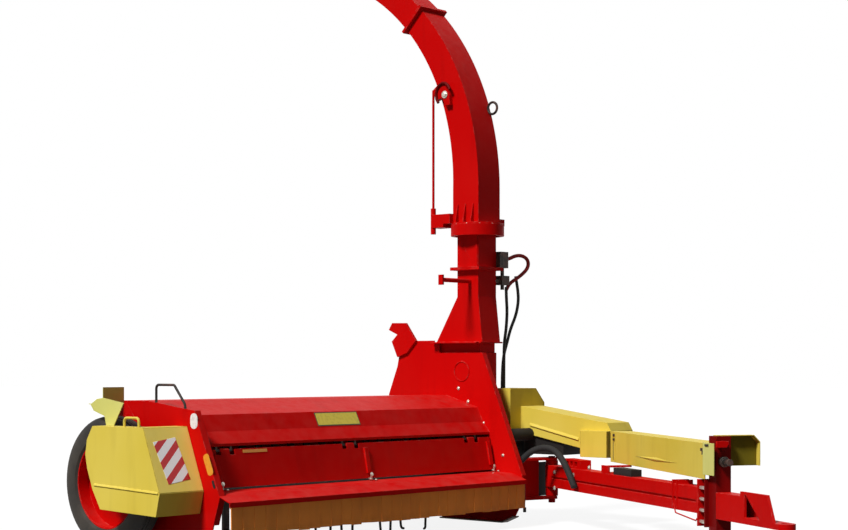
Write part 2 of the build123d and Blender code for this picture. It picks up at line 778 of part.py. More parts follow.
def warning_plate():
    """Striped plate on the guard's sloping front."""
    run_y = GUARD_NOSE_Y - GUARD_TOP_FRONT_Y
    run_z = GUARD_NOSE_Z - GUARD_TOP_Z
    top = (GUARD_TOP_FRONT_Y + run_y * 0.19, GUARD_TOP_Z + run_z * 0.19)
    foot = (GUARD_TOP_FRONT_Y + run_y * 0.84, GUARD_TOP_Z + run_z * 0.84)
    start = WARNING_PLATE_INSET - BELT_GUARD_DEPTH
    plate = bent_sheet((top, foot), 2, start, start + WARNING_PLATE_WIDTH)
    middle = (start + WARNING_PLATE_WIDTH / 2, (top[0] + foot[0]) / 2, (top[1] + foot[1]) / 2)
    return plate.rotate(Axis(middle, (0, run_z, -run_y)), WARNING_PLATE_TURN)


def guard_handle():
    """Loop handle on the guard's top."""
    x = -BELT_GUARD_DEPTH + 22
    z = GUARD_TOP_Z
    front, rear = HANDLE_FRONT_Y, HANDLE_FRONT_Y + HANDLE_LENGTH
    top = z + HANDLE_HEIGHT
    return bar_along(((x, front, z), (x, front, top), (x, rear, top), (x, rear, z)), HANDLE_R)


def guard_bracket():
    """Folded yellow bracket between the guard's top and the right side plate."""
    low = -BRACKET_SIDE_X
    front = BRACKET_Y
    plate = block(-BRACKET_WIDTH, 0, front, front + GUARD_SHEET, BRACKET_LOW_Z, BRACKET_HIGH_Z)
    shelf = block(low, 0, front, front + 50, BRACKET_LOW_Z, BRACKET_LOW_Z + GUARD_SHEET)
    line = (
        (front + 28, BRACKET_LOW_Z),
        (front - 28, BRACKET_LOW_Z + 30),
        (front - 84, BRACKET_LOW_Z + 37),
        (front - 259, BRACKET_LOW_Z + 11),
        (front - 185, BRACKET_LOW_Z - 97),
        (GUARD_REAR_Y - 128, GUARD_TOP_Z),
        (GUARD_REAR_Y - 62, GUARD_TOP_Z),
        (front - 94, BRACKET_LOW_Z - 61),
        (front, BRACKET_LOW_Z - 34),
    )
    return plate + shelf + prism_x(line, low - GUARD_SHEET, low)


def roof_handle():
    """Bent rod handle on the right plate's top edge."""
    x = PLATE / 2
    top = ROOF_Z + 88
    foot = CHEEK_TOP_Z - 5
    route = ((x, 356, foot), (x, 366, foot + 40), (x, 452, top), (x, 602, top), (x, 602, ROOF_Z - 25))
    under = ((CHEEK_TOP_Y, foot - 40),) + CHEEK_TOP + ((ROOF_REAR_Y, foot - 40),)
    return bar_along(route, HANDLE_R) - prism_x(under, -20, 20)


# ---------------------------------------------------------------- blower, hopper and neck
def blower_casing():
    """Drum-shaped casing on the left plate, open upwards into the throat."""
    drum = rod_x(CASING_Y, CASING_Z, CASING_R, CASING_RIGHT_X, CASING_LEFT_X)
    duct = block(CASING_RIGHT_X, CASING_LEFT_X, DUCT_FRONT_Y, DUCT_REAR_Y, CASING_Z, TALL_TOP_Z)
    inner_high = CASING_LEFT_X - SHEET
    drum_room = rod_x(CASING_Y, CASING_Z, CASING_R - SHEET, CASING_RIGHT_X, inner_high)
    duct_room = block(
        CASING_RIGHT_X,
        inner_high,
        DUCT_FRONT_Y + SHEET,
        DUCT_REAR_Y - SHEET,
        CASING_Z,
        TALL_TOP_Z - SHEET,
    )
    mouth = throat_box(SHEET, TALL_TOP_Z - 2 * SHEET, TALL_TOP_Z + 1)
    return (drum + duct) - drum_room - duct_room - mouth


def throat_box(wall, z_low, z_high):
    """Box of the throat between casing and hopper, less a wall all round."""
    return block(
        CASING_RIGHT_X + THROAT_INSET + wall,
        CASING_LEFT_X - SHEET - wall,
        NECK_FRONT_Y + wall,
        DUCT_REAR_Y - 10 - wall,
        z_low,
        z_high,
    )


def throat():
    """Recessed throat between the casing and the hopper."""
    return throat_box(0, TALL_TOP_Z, HOPPER_Z) - throat_box(SHEET, TALL_TOP_Z - 1, HOPPER_Z + 1)


def hopper():
    """Hopper that narrows to the lower neck, with a flange at each end."""
    low = LEFT_X + NECK_X
    high = low + NECK_WIDTH
    foot = HOPPER_Z + FLANGE_THICK
    neck_rear = NECK_FRONT_Y + NECK_DEPTH
    line = (
        (NECK_FRONT_Y - 34, foot),
        (DUCT_REAR_Y - 6, foot),
        (neck_rear, NECK_FOOT_Z),
        (neck_rear, NECK_FLANGE_Z),
        (NECK_FRONT_Y, NECK_FLANGE_Z),
        (NECK_FRONT_Y, NECK_FOOT_Z),
    )
    shell = prism_x(line, low, high)
    flange = block(
        LEFT_X - HOPPER_FLANGE,
        CASING_LEFT_X + HOPPER_FLANGE,
        TALL_TOP_Y - 6,
        DUCT_REAR_Y + 10,
        HOPPER_Z,
        foot,
    )
    collar = block(
        low - 34, high + 34, NECK_FRONT_Y - 34, neck_rear + 34, NECK_FLANGE_Z, NECK_FLANGE_Z + 10
    )
    room_line = offset_closed(line, -SHEET)
    room = prism_x(room_line, low + SHEET, high - SHEET)
    room = room + throat_box(SHEET, HOPPER_Z - 1, foot + 2 * SHEET)
    room = room + neck_box(SHEET, NECK_FLANGE_Z - 3 * SHEET, NECK_FLANGE_Z + 20)
    return (shell + flange + collar) - room


def neck_box(wall, z_low, z_high):
    """Box of the neck, less a wall all round."""
    low = LEFT_X + NECK_X
    return block(
        low + wall,
        low + NECK_WIDTH - wall,
        NECK_FRONT_Y + wall,
        NECK_FRONT_Y + NECK_DEPTH - wall,
        z_low,
        z_high,
    )


def neck():
    """Upper neck between the bolted flange and the swivel collar."""
    foot = NECK_FLANGE_Z + 10
    neck_rear = NECK_FRONT_Y + NECK_DEPTH
    low = LEFT_X + NECK_X
    flange = block(low - 34, low + NECK_WIDTH + 34, NECK_FRONT_Y - 34, neck_rear + 34, foot, foot + 10)
    collar = rod_z(LEFT_X + TURRET_X, TURRET_Y, COLLAR_R, COLLAR_Z, COLLAR_Z + COLLAR_THICK)
    solid = neck_box(0, foot, COLLAR_Z) + flange + collar
    gusset = Pos(low - 6, 0, 0) * extrude(
        outline_x(
            (
                (NECK_FRONT_Y + 6, foot + 10),
                (NECK_FRONT_Y + 30, foot + 10),
                (neck_rear - 6, COLLAR_Z),
                (NECK_FRONT_Y + 6, COLLAR_Z),
            )
        ),
        amount=6,
    )
    return (solid + gusset) - neck_box(SHEET, foot - 1, COLLAR_Z + COLLAR_THICK + 1)


def lock_pin():
    """Thick locking bolt through the lower neck's right face, with an upright grip."""
    low = LEFT_X + NECK_X
    y = NECK_FRONT_Y + 70
    z = NECK_FLANGE_Z - 72
    grip = block(low - LOCK_REACH - 14, low - LOCK_REACH, y - 18, y + 18, z - 32, z + 32)
    return rod_x(y, z, LOCK_R, low - LOCK_REACH, low) + grip


def valve_block():
    """Valve with its lever lug on the bolted flange's left front corner."""
    low = LEFT_X + NECK_X + NECK_WIDTH
    front = NECK_FRONT_Y - 34
    foot = NECK_FLANGE_Z + 20
    body = block(low, low + 34, front, front + 44, foot, foot + VALVE_HEIGHT)
    lug = block(low, low + 12, front + 44, NECK_FRONT_Y + 60, foot + 70, foot + VALVE_HEIGHT + 50)
    return body + lug


def lock_ear():
    """Hooked transport bracket on the rear top of the left plate."""
    line = (
        (918, 1171),
        (1008, 1288),
        (1129, 1290),
        (1160, 1244),
        (1083, 1212),
        (1133, 1166),
        (1083, 1063),
        (1000, 1090),
    )
    return prism_x(line, LEFT_X - 18, LEFT_X)


# ---------------------------------------------------------------- spout
SPOUT_CENTRE_Y = SPOUT_FRONT_Y + SPOUT_R
SPOUT_LOW_X = LEFT_X + SPOUT_X
SPOUT_HIGH_X = SPOUT_LOW_X + SPOUT_WIDTH


def spout_depth(degrees):
    """Depth of the spout's section, which narrows evenly towards its tip."""
    share = max(0.0, degrees) / SPOUT_TIP_DEG
    return SPOUT_DEPTH + (SPOUT_TIP_DEPTH - SPOUT_DEPTH) * share


def spout_point(degrees, inset):
    """Point (y, z) on the spout's outer curve, or inset towards its centre."""
    radius = SPOUT_R - inset
    angle = math.radians(degrees)
    return (SPOUT_CENTRE_Y - radius * math.cos(angle), SPOUT_SPRING_Z + radius * math.sin(angle))


def spout_slab(low_deg, high_deg, outer, inner, foot_z, x_low, x_high):
    """Curved slab between two insets from the outer curve, with a straight foot if foot_z is set."""
    middle = (low_deg + high_deg) / 2
    outer_arc = ThreePointArc(
        spout_point(low_deg, outer), spout_point(middle, outer), spout_point(high_deg, outer)
    )
    ends = [spout_depth(angle) + inner for angle in (high_deg, middle, low_deg)]
    inner_arc = ThreePointArc(
        spout_point(high_deg, ends[0]), spout_point(middle, ends[1]), spout_point(low_deg, ends[2])
    )
    edges = [outer_arc, Line(outer_arc @ 1, inner_arc @ 0), inner_arc]
    if foot_z is None:
        edges.append(Line(inner_arc @ 1, outer_arc @ 0))
    else:
        rear = (inner_arc @ 1).X
        front = (outer_arc @ 0).X
        edges.append(Polyline((inner_arc @ 1), (rear, foot_z), (front, foot_z), (outer_arc @ 0)))
    face = Plane.YZ * make_face(edges)
    return Pos(x_low, 0, 0) * extrude(face, amount=x_high - x_low)


def spout_flange(low_deg, high_deg):
    """Frame round the spout where its two sections meet."""
    return spout_slab(
        low_deg,
        high_deg,
        -SPOUT_FLANGE,
        SPOUT_FLANGE,
        None,
        SPOUT_LOW_X - SPOUT_FLANGE,
        SPOUT_HIGH_X + SPOUT_FLANGE,
    )


def spout_room(low_deg, high_deg, foot_z):
    """Inside of the spout."""
    return spout_slab(
        low_deg, high_deg, SHEET, -SHEET, foot_z, SPOUT_LOW_X + SHEET, SPOUT_HIGH_X - SHEET
    )


FLANGE_DEG = math.degrees(FLANGE_THICK / SPOUT_R)


def turret():
    """Swivel ring that grips the neck's collar."""
    x = LEFT_X + TURRET_X
    foot = COLLAR_Z - TURRET_LIP - RUNNING_GAP
    ring = rod_z(x, TURRET_Y, TURRET_R, foot, TURRET_TOP_Z)
    top_room = rod_z(x, TURRET_Y, TURRET_BORE_R, foot, TURRET_TOP_Z + 1)
    groove = rod_z(
        x,
        TURRET_Y,
        COLLAR_R + RUNNING_GAP,
        COLLAR_Z - RUNNING_GAP,
        COLLAR_Z + COLLAR_THICK + RUNNING_GAP,
    )
    neck_room = rod_z(x, TURRET_Y, math.hypot(NECK_WIDTH, NECK_DEPTH) / 2 + 22, foot - 1, COLLAR_Z)
    return ring - top_room - groove - neck_room


def spout_base():
    """Round base plate of the spout on the swivel ring, with upright ribs at its right side."""
    foot = TURRET_TOP_Z + FLANGE_THICK
    x = LEFT_X + TURRET_X
    base = rod_z(x, TURRET_Y, TURRET_R - 6, TURRET_TOP_Z, foot)
    base = base - rod_z(x, TURRET_Y, TURRET_BORE_R, TURRET_TOP_Z - 1, foot + 1)
    lug_low = x + TURRET_R - 30
    base = base + block(lug_low, lug_low + 60, TURRET_Y - 60, TURRET_Y - 20, TURRET_TOP_Z, foot + 34)
    for step in (0.2, 0.5, 0.8):
        y = SPOUT_FRONT_Y + SPOUT_DEPTH * step
        rib = block(SPOUT_LOW_X - RIB_REACH, SPOUT_LOW_X, y - 4, y + 4, foot - 1, foot + RIB_HEIGHT)
        cut = Pos(SPOUT_LOW_X - RIB_REACH, y, foot + RIB_HEIGHT) * Rot(0, 12, 0) * Box(40, 20, 200)
        base = base + (rib - cut)
    return base


def spout_lower():
    """Lower spout section with its end flange."""
    foot = TURRET_TOP_Z + FLANGE_THICK
    end = SPOUT_JOINT_DEG
    shell = spout_slab(0, end, 0, 0, foot, SPOUT_LOW_X, SPOUT_HIGH_X)
    shell = shell + spout_flange(end - FLANGE_DEG, end)
    return shell - spout_room(0, end + 1, foot - 1)


def spout_upper():
    """Upper spout section that ends almost level."""
    start = SPOUT_JOINT_DEG
    shell = spout_slab(start, SPOUT_TIP_DEG, 0, 0, None, SPOUT_LOW_X, SPOUT_HIGH_X)
    shell = shell + spout_flange(start, start + FLANGE_DEG)
    shell = shell - spout_room(start - 1, SPOUT_TIP_DEG + 1, None)
    return shell + flap_lug(SPOUT_LOW_X, -1) + flap_lug(SPOUT_HIGH_X, 1)


FLAP_PIN = spout_point(SPOUT_TIP_DEG, -14)


def flap_lug(x, side):
    """Ear with the flap's hinge pin on one side wall of the spout."""
    y, z = FLAP_PIN
    near = spout_point(SPOUT_TIP_DEG - 4, 0)
    foot = spout_point(SPOUT_TIP_DEG - 4, 60)
    front = spout_point(SPOUT_TIP_DEG, 60)
    inner = x - side * SHEET
    end = x + side * 16
    ear = prism_x((near, (y, z + 10), (y + 12, z), front, foot), min(x, inner), max(x, inner))
    return ear + rod_x(y, z, FLAP_PIN_R, min(inner, end), max(inner, end))


def spout_flap():
    """Channel-shaped deflector hinged at the spout's tip."""
    y, z = FLAP_PIN
    drop = math.radians(FLAP_DROP_DEG + 90 - SPOUT_TIP_DEG)
    along = (math.cos(drop), -math.sin(drop))
    down = (-math.sin(drop), -math.cos(drop))

    def at(run, depth):
        return (y + along[0] * run + down[0] * depth, z + along[1] * run + down[1] * depth)

    low = SPOUT_LOW_X - SHEET - 3
    high = SPOUT_HIGH_X + SHEET + 3
    cheek_line = (at(-16, -14), at(FLAP_LENGTH, -10), at(FLAP_LENGTH, 60), at(60, 95), at(-16, 20))
    flap = prism_x(cheek_line, low, high)
    flap = flap - prism_x(
        (at(-30, -8), at(FLAP_LENGTH + 10, -5), at(FLAP_LENGTH + 10, 140), at(-30, 140)),
        low + SHEET,
        high - SHEET,
    )
    flap = flap - prism_x((at(-30, -20), at(30, -20), at(30, 10), at(-30, 10)), low + SHEET, high - SHEET)
    return flap - rod_x(y, z, FLAP_PIN_R + RUNNING_GAP, low - 1, high + 1)


ROD_X = LEFT_X - 17


def crank_bracket():
    """Bracket with the screw sleeve behind the spout's foot."""
    rear = SPOUT_FRONT_Y + SPOUT_DEPTH
    foot = TURRET_TOP_Z + FLANGE_THICK
    clear = TURRET_Y + TURRET_R + 4
    line = (
        (rear, foot),
        (rear, CRANK_ARM_HIGH_Z),
        (ROD_Y + 6, CRANK_ARM_HIGH_Z),
        (ROD_Y + 6, CRANK_ARM_LOW_Z),
        (clear, CRANK_ARM_LOW_Z),
        (clear, foot),
    )
    arm = prism_x(line, ROD_X - 18, ROD_X + 74)
    sleeve = rod_z(ROD_X, ROD_Y, SCREW_R, SCREW_LOW_Z, ROD_FOOT_Z)
    return arm + sleeve


def control_rod():
    """Thin vertical rod from the screw to the spout's side bracket."""
    return rod_z(ROD_X, ROD_Y, ROD_R, ROD_FOOT_Z, ROD_TOP_Z)


def spout_bracket():
    """Lobed guide bracket on the spout's right face, near its hollow side."""
    angle = SPOUT_BRACKET_DEG
    depth = spout_depth(angle)
    line = (
        spout_point(angle - 3.4, depth - 74),
        spout_point(angle - 1.2, depth - 92),
        spout_point(angle + 1.6, depth - 84),
        spout_point(angle + 2.8, depth - 46),
        spout_point(angle + 2.4, depth + 20),
        spout_point(angle - 0.6, depth + 26),
        spout_point(angle - 0.8, depth - 30),
        spout_point(angle - 3.0, depth - 34),
    )
    bracket = prism_x(line, SPOUT_LOW_X - 30, SPOUT_LOW_X)
    return bracket - rod_z(ROD_X, ROD_Y, ROD_R, ROD_FOOT_Z, ROD_TOP_Z + 1)


def lifting_ring():
    """Round hook on the spout's front."""
    y, z = spout_point(18, 0)
    ring = Pos(SPOUT_HIGH_X - 24, y - 42, z) * Rot(0, 90, 0) * Torus(38, 8)
    wall = spout_slab(0, SPOUT_JOINT_DEG, 0, 0, None, SPOUT_LOW_X, SPOUT_HIGH_X)
    return ring - wall


# ---------------------------------------------------------------- drawbar
POST_REAR_L = BEAM_LENGTH + 2 * END_PLATE_THICK + SPACER_GAP
POST_L = POST_REAR_L + POST_DEPTH / 2
GUARD_FRONT_L = POST_REAR_L - GUARD_POST_GAP
DRAWBAR = Pos(LEFT_X + PIVOT_X, PIVOT_Y, 0) * Rot(0, 0, -PARK_ANGLE)
# The drive line leans against the beam: its own frame starts at the bearing post.
DRIVE = DRAWBAR * Pos(HEAD_SIDE, -POST_L, 0) * Rot(0, 0, -DRIVE_TURN)


def ahead(x_low, x_high, start, end, z_low, z_high):
    """A block in the drawbar's frame, from one distance ahead of the pivot to another."""
    return block(x_low, x_high, -end, -start, z_low, z_high)


def drawbar_beam():
    """Hollow beam, grooved along both sides, with the barrel that turns on the swing pin."""
    high = BEAM_LOW_Z + BEAM_HEIGHT
    half = BEAM_WIDTH / 2
    beam = ahead(-half, half, 0, BEAM_LENGTH, BEAM_LOW_Z, high)
    wall = BEAM_SIDE_WALL
    room = ahead(
        wall - half, half - wall, PIVOT_BARREL_R + 20, BEAM_LENGTH - 30, BEAM_LOW_Z + 6, high - 6
    )
    for low in (-half, half - GROOVE_DEPTH):
        groove = ahead(
            low, low + GROOVE_DEPTH, PIVOT_BARREL_R + 60, BEAM_LENGTH - 30, GROOVE_LOW_Z, GROOVE_HIGH_Z
        )
        beam = beam - groove
    barrel = rod_z(0, 0, PIVOT_BARREL_R, PIVOT_LOW_Z + EAR_THICK + EAR_GAP, PIVOT_HIGH_Z - EAR_GAP)
    pin_room = rod_z(0, 0, PIVOT_PIN_R + RUNNING_GAP, 0, PIVOT_HIGH_Z + 50)
    return DRAWBAR * ((beam - room + barrel) - pin_room)


def end_plate():
    """Upright plate at the beam's front end, held to the post's plate by spacer bolts."""
    plate = ahead(
        -END_PLATE_IN,
        END_PLATE_OUT,
        BEAM_LENGTH,
        BEAM_LENGTH + END_PLATE_THICK,
        END_PLATE_LOW_Z,
        END_PLATE_HIGH_Z,
    )
    return DRAWBAR * plate


def spacer_bolts():
    """Two columns of long bolts between the beam's end plate and the post's plate."""
    rear = BEAM_LENGTH + END_PLATE_THICK
    bolts = []
    for side in (SPACER_INSET - END_PLATE_IN, END_PLATE_OUT - SPACER_INSET):
        for row in range(SPACER_ROWS):
            z = SPACER_LOW_Z + SPACER_PITCH * row
            bolts.append(DRAWBAR * rod_y(side, z, SPACER_R, -rear - SPACER_GAP, -rear))
    return bolts


def beam_anchor():
    """Slotted anchor on the beam's top, ahead of the pivot."""
    top = BEAM_LOW_Z + BEAM_HEIGHT
    half = BEAM_WIDTH / 2 - 8
    end = ANCHOR_L + ANCHOR_LENGTH
    anchor = ahead(-half, half, ANCHOR_L, end, top, top + ANCHOR_HEIGHT)
    slot_low = top + 14
    slot_high = top + ANCHOR_HEIGHT - 12
    pitch = ANCHOR_LENGTH / 4
    for index in range(3):
        start = ANCHOR_L + 24 + pitch * (index + 0.3)
        anchor = anchor - ahead(-half - 1, half + 1, start, start + pitch * 0.6, slot_low, slot_high)
    return DRAWBAR * anchor


def guard_stand():
    """Stand on the beam that carries the long guard's rear half on its arm."""
    top = BEAM_LOW_Z + BEAM_HEIGHT
    half = BEAM_WIDTH / 2
    end = STAND_L + STAND_LENGTH
    upright = ahead(-half, STAND_SHEET - half, STAND_L, end, top, GUARD_LOW_Z)
    middle = STAND_L + STAND_LENGTH / 2
    reach = HEAD_SIDE + (POST_L - middle) * math.tan(math.radians(DRIVE_TURN)) - GUARD_WIDTH / 2 + 12
    arm = ahead(-half, reach, middle - 12, middle + 12, GUARD_LOW_Z - STAND_SHEET, GUARD_LOW_Z)
    foot = ahead(-half, half, STAND_L, end, top, top + 6)
    return DRAWBAR * (upright + arm + foot)


def rest_block():
    """Dark rest block on the beam's top."""
    top = BEAM_LOW_Z + BEAM_HEIGHT
    half = BEAM_WIDTH / 2 - 12
    return DRAWBAR * ahead(-half, half, REST_L, REST_L + REST_LENGTH, top, top + REST_HEIGHT)


def hitch_tongue():
    """Hitch head with its gusset and the tongue plate with the eye."""
    start = POST_L + POST_DEPTH / 2
    end = TONGUE_L
    half = HEAD_WIDTH / 2
    middle = HEAD_SIDE
    head = ahead(middle - half, middle + half, start, HEAD_FRONT_L, HEAD_LOW_Z, HEAD_HIGH_Z)
    room = ahead(
        middle - half + 8,
        middle + half - 8,
        start + 12,
        HEAD_FRONT_L + 1,
        HEAD_LOW_Z + TONGUE_THICK,
        HEAD_HIGH_Z - 8,
    )
    tongue = ahead(middle - half, middle + half, start, end, HEAD_LOW_Z, HEAD_LOW_Z + TONGUE_THICK)
    low = HEAD_LOW_Z + TONGUE_THICK
    high = HEAD_HIGH_Z - 8
    web_line = (
        (-HEAD_FRONT_L + 20, low),
        (-HEAD_FRONT_L + 20, high + WEB_RISE),
        (-WEB_FRONT_L + 64, high + WEB_RISE),
        (-WEB_FRONT_L, low),
    )
    gap_line = (
        (-HEAD_FRONT_L - 22, low + 3),
        (-HEAD_FRONT_L - 22, high + WEB_RISE - 14),
        (-HEAD_FRONT_L - 36, high + WEB_RISE - 14),
        (-HEAD_FRONT_L - 179, low + 3),
    )
    start_x = middle - half
    web = prism_x(web_line, start_x, start_x + WEB_THICK)
    web = web - prism_x(gap_line, start_x - 1, start_x + WEB_THICK + 1)
    eye = rod_z(middle, -end, half, HEAD_LOW_Z, HEAD_LOW_Z + TONGUE_THICK)
    hole = rod_z(middle, -end, TONGUE_EYE_R, 0, HEAD_LOW_Z + TONGUE_THICK + 1)
    return DRAWBAR * ((head - room) + tongue + web + eye - hole)


def post_block():
    """The post's outside, in the drawbar's frame."""
    half = POST_WIDTH / 2
    rear = POST_L - POST_DEPTH / 2
    front = POST_L + POST_DEPTH / 2
    return ahead(HEAD_SIDE - half, HEAD_SIDE + half, rear, front, POST_LOW_Z, POST_TOP_Z)


def bearing_post():
    """Post with the drive shaft's bearing above the jack's sleeve, and its plate for the bolts."""
    front = POST_L + POST_DEPTH / 2
    post = post_block()
    plate = ahead(
        -END_PLATE_IN,
        END_PLATE_OUT,
        POST_REAR_L - END_PLATE_THICK,
        POST_REAR_L,
        END_PLATE_LOW_Z,
        END_PLATE_HIGH_Z,
    )
    boss = rod_y(HEAD_SIDE - 8, BOSS_Z, BOSS_R, -front - BOSS_LENGTH, -front)
    sleeve = rod_z(HEAD_SIDE, -POST_L, JACK_R + RUNNING_GAP, 0, JACK_TOP_Z + JACK_TRAVEL + 15)
    bore = DRIVE * rod_y(0, DRIVE_Z, SHAFT_R + RUNNING_GAP, -200, 200)
    return DRAWBAR * (post + plate + boss - sleeve) - bore


def rod_y(x, z, radius, y_low, y_high):
    """A round bar along Y."""
    return Pos(x, (y_low + y_high) / 2, z) * Rot(90, 0, 0) * Cylinder(radius, y_high - y_low)


def drive_length(distance):
    """Place along the drive line's frame of a distance ahead of the pivot."""
    return (POST_L - distance) / math.cos(math.radians(DRIVE_TURN))


def drive_shaft():
    """Drive shaft from the input stub to the rear joint."""
    rear = drive_length(GUARD_REAR_L) + 20
    shoulder = drive_length(POST_L + SHOULDER_L)
    shaft = rod_y(0, DRIVE_Z, SHAFT_R, shoulder, rear)
    stub = rod_y(0, DRIVE_Z, INPUT_STUB_R, shoulder - INPUT_STUB_LENGTH, shoulder)
    return DRIVE * (shaft + stub)


def drive_guard():
    """Long guard over the drive shaft, open below."""
    low = -GUARD_WIDTH / 2
    high = GUARD_WIDTH / 2
    rear = drive_length(GUARD_REAR_L)
    front = drive_length(GUARD_FRONT_L)
    shell = block(low, high, front, rear, GUARD_LOW_Z, GUARD_HIGH_Z)
    shell = shell - block(
        low + GUARD_SHEET,
        high - GUARD_SHEET,
        front - 1,
        rear + 1,
        GUARD_LOW_Z - 1,
        GUARD_HIGH_Z - GUARD_SHEET,
    )
    return DRIVE * shell


def guard_cap():
    """Side plate that carries the guard's front end past the post."""
    low = -GUARD_WIDTH / 2
    front = drive_length(POST_REAR_L + POST_DEPTH)
    rear = drive_length(GUARD_FRONT_L)
    foot = END_PLATE_HIGH_Z + 32
    plate = block(low, low + GUARD_SHEET, front, rear, foot, GUARD_HIGH_Z)
    seat = block(low, 0, -SEAT_LENGTH / 2, SEAT_LENGTH / 2, GUARD_HIGH_Z - 55, GUARD_HIGH_Z - 15)
    return DRIVE * (plate + seat) - DRAWBAR * post_block()


def prism_ahead(outline, start, end):
    """A solid from an (x, z) outline in the drawbar's frame, from one distance ahead to another."""
    face = Plane(origin=(0, -start, 0), x_dir=(1, 0, 0), z_dir=(0, -1, 0)) * Polygon(*outline, align=None)
    return extrude(face, amount=end - start, dir=(0, -1, 0))


def input_shield():
    """Shallow hood on the post's outer side, open to the front, with a strip over the post's top."""
    near = HEAD_SIDE + POST_WIDTH / 2
    far = near + SHIELD_REACH
    rear = POST_L - SHIELD_SET
    front = rear + SHIELD_DEPTH
    high = POST_TOP_Z + GUARD_SHEET
    sheet = GUARD_SHEET

    def outline(inset, start, foot):
        bevel = SHIELD_CHAMFER - inset * 0.4
        right = far - inset
        top = high - inset
        return ((start, foot), (start, top), (right - bevel, top), (right, top - bevel), (right, foot))

    shell = prism_ahead(outline(0, near, SHIELD_LOW_Z), rear, front)
    room = prism_ahead(outline(sheet, near - 1, SHIELD_LOW_Z - 1), rear + sheet, front + 1)
    strip = ahead(near - POST_WIDTH + 14, near + 1, rear, front, POST_TOP_Z, high)
    return DRAWBAR * ((shell - room) + strip)


def jack_leg():
    """Parking jack's foot and inner leg."""
    leg = rod_z(HEAD_SIDE, -POST_L, JACK_R, 0, JACK_TOP_Z)
    foot = rod_z(HEAD_SIDE, -POST_L, JACK_FOOT / 2, 0, JACK_FOOT_THICK)
    return DRAWBAR * (leg + foot)


def swing_bracket():
    """Bracket with two ears, a web and the swing pin, beside the left plate."""
    x = LEFT_X + PIVOT_X
    start = LEFT_X + PLATE
    ears = []
    for z in (PIVOT_LOW_Z, PIVOT_HIGH_Z):
        ear = prism_z(
            (
                (start, PIVOT_Y + 55),
                (start, PIVOT_Y + SWING_EAR_REAR),
                (x + 20, PIVOT_Y + 50),
                (x + 45, PIVOT_Y),
                (x, PIVOT_Y - 45),
            ),
            z,
            z + EAR_THICK,
        )
        ears.append(ear)
    web_end = x - PIVOT_BARREL_R - 12
    web = block(
        start, web_end, PIVOT_Y + 66, PIVOT_Y + 76, PIVOT_LOW_Z + EAR_THICK, PIVOT_HIGH_Z
    )
    pin = rod_z(x, PIVOT_Y, PIVOT_PIN_R, PIVOT_LOW_Z - 25, PIVOT_HIGH_Z + EAR_THICK + 8)
    return joined(ears[0], ears[1], web, pin)


# ---------------------------------------------------------------- hose across the pivot
HOSE_ROUTE = (
    (LEFT_X + 28, 122.0, 352.0),
    (LEFT_X + 100, 85.0, 455.0),
    (LEFT_X + 140, -60.0, 505.0),
    (LEFT_X + 105, -215.0, 430.0),
    (LEFT_X + 55, -330.0, 262.0),
)


def hose_arcs(route):
    """Bend radius at every inner point of a route: the arcs take 0.45 of the shorter run."""
    radii = []
    for before, corner, after in zip(route, route[1:], route[2:]):
        first = Vector(*corner) - Vector(*before)
        second = Vector(*after) - Vector(*corner)
        half_turn = math.radians(first.get_angle(second)) / 2
        radii.append(0.45 * min(first.length, second.length) / math.tan(half_turn))
    return radii


def cord_along(route, radius):
    """A round cord of straight runs joined by tangent arcs."""
    edges = []
    start = Vector(*route[0])
    for index, bend in enumerate(hose_arcs(route)):
        before, corner, after = (Vector(*point) for point in route[index : index + 3])
        into = (corner - before).normalized()
        out = (after - corner).normalized()
        half_turn = math.radians(into.get_angle(out)) / 2
        reach = bend * math.tan(half_turn)
        enter = corner - into * reach
        leave = corner + out * reach
        inward = (out - into).normalized()
        crown = corner + inward * (bend / math.cos(half_turn) - bend)
        edges.append(Line(start, enter))
        edges.append(ThreePointArc(enter, crown, leave))
        start = leave
    edges.append(Line(start, Vector(*route[-1])))
    path = Wire(edges)
    section = Plane(origin=path @ 0, z_dir=path % 0) * Circle(radius)
    return sweep(section, path=path)


def hose_gland():
    """Round gland on the left plate, square to the hose that starts at its face."""
    first = Vector(*HOSE_ROUTE[1]) - Vector(*HOSE_ROUTE[0])
    start = Plane(origin=HOSE_ROUTE[0], z_dir=first)
    gland = extrude(start * Circle(HOSE_R + 6), amount=-80)
    return gland - block(LEFT_X - 200, LEFT_X + PLATE, -200, 400, 0, 600)


def swing_hose():
    """Ribbed hose that arches from the left plate to the beam's inner side."""
    return cord_along(HOSE_ROUTE, HOSE_R)


# ---------------------------------------------------------------- covers on the left side
def drive_cover():
    """Tall cover beside the blower casing."""
    low = LEFT_X + COVER_RIGHT_X
    high = LEFT_X + COVER_LEFT_X
    outline = (
        (low, COVER_LOW_Z),
        (low, COVER_HIGH_Z),
        (high - 90, COVER_HIGH_Z),
        (high, COVER_HIGH_Z - 95),
        (high, COVER_LOW_Z),
    )
    face = Plane.XZ * make_face(Polyline(*outline, close=True))
    shell = extrude(face, amount=-(COVER_REAR_Y - COVER_FRONT_Y))
    inner = (
        (low + GUARD_SHEET, COVER_LOW_Z - 1),
        (low + GUARD_SHEET, COVER_HIGH_Z - GUARD_SHEET),
        (high - 92, COVER_HIGH_Z - GUARD_SHEET),
        (high - GUARD_SHEET, COVER_HIGH_Z - 97),
        (high - GUARD_SHEET, COVER_LOW_Z - 1),
    )
    inner_face = Plane.XZ * make_face(Polyline(*inner, close=True))
    depth = COVER_REAR_Y - COVER_FRONT_Y - 2 * GUARD_SHEET
    room = Pos(0, GUARD_SHEET, 0) * extrude(inner_face, amount=-depth)
    return Pos(0, COVER_FRONT_Y, 0) * (shell - room)


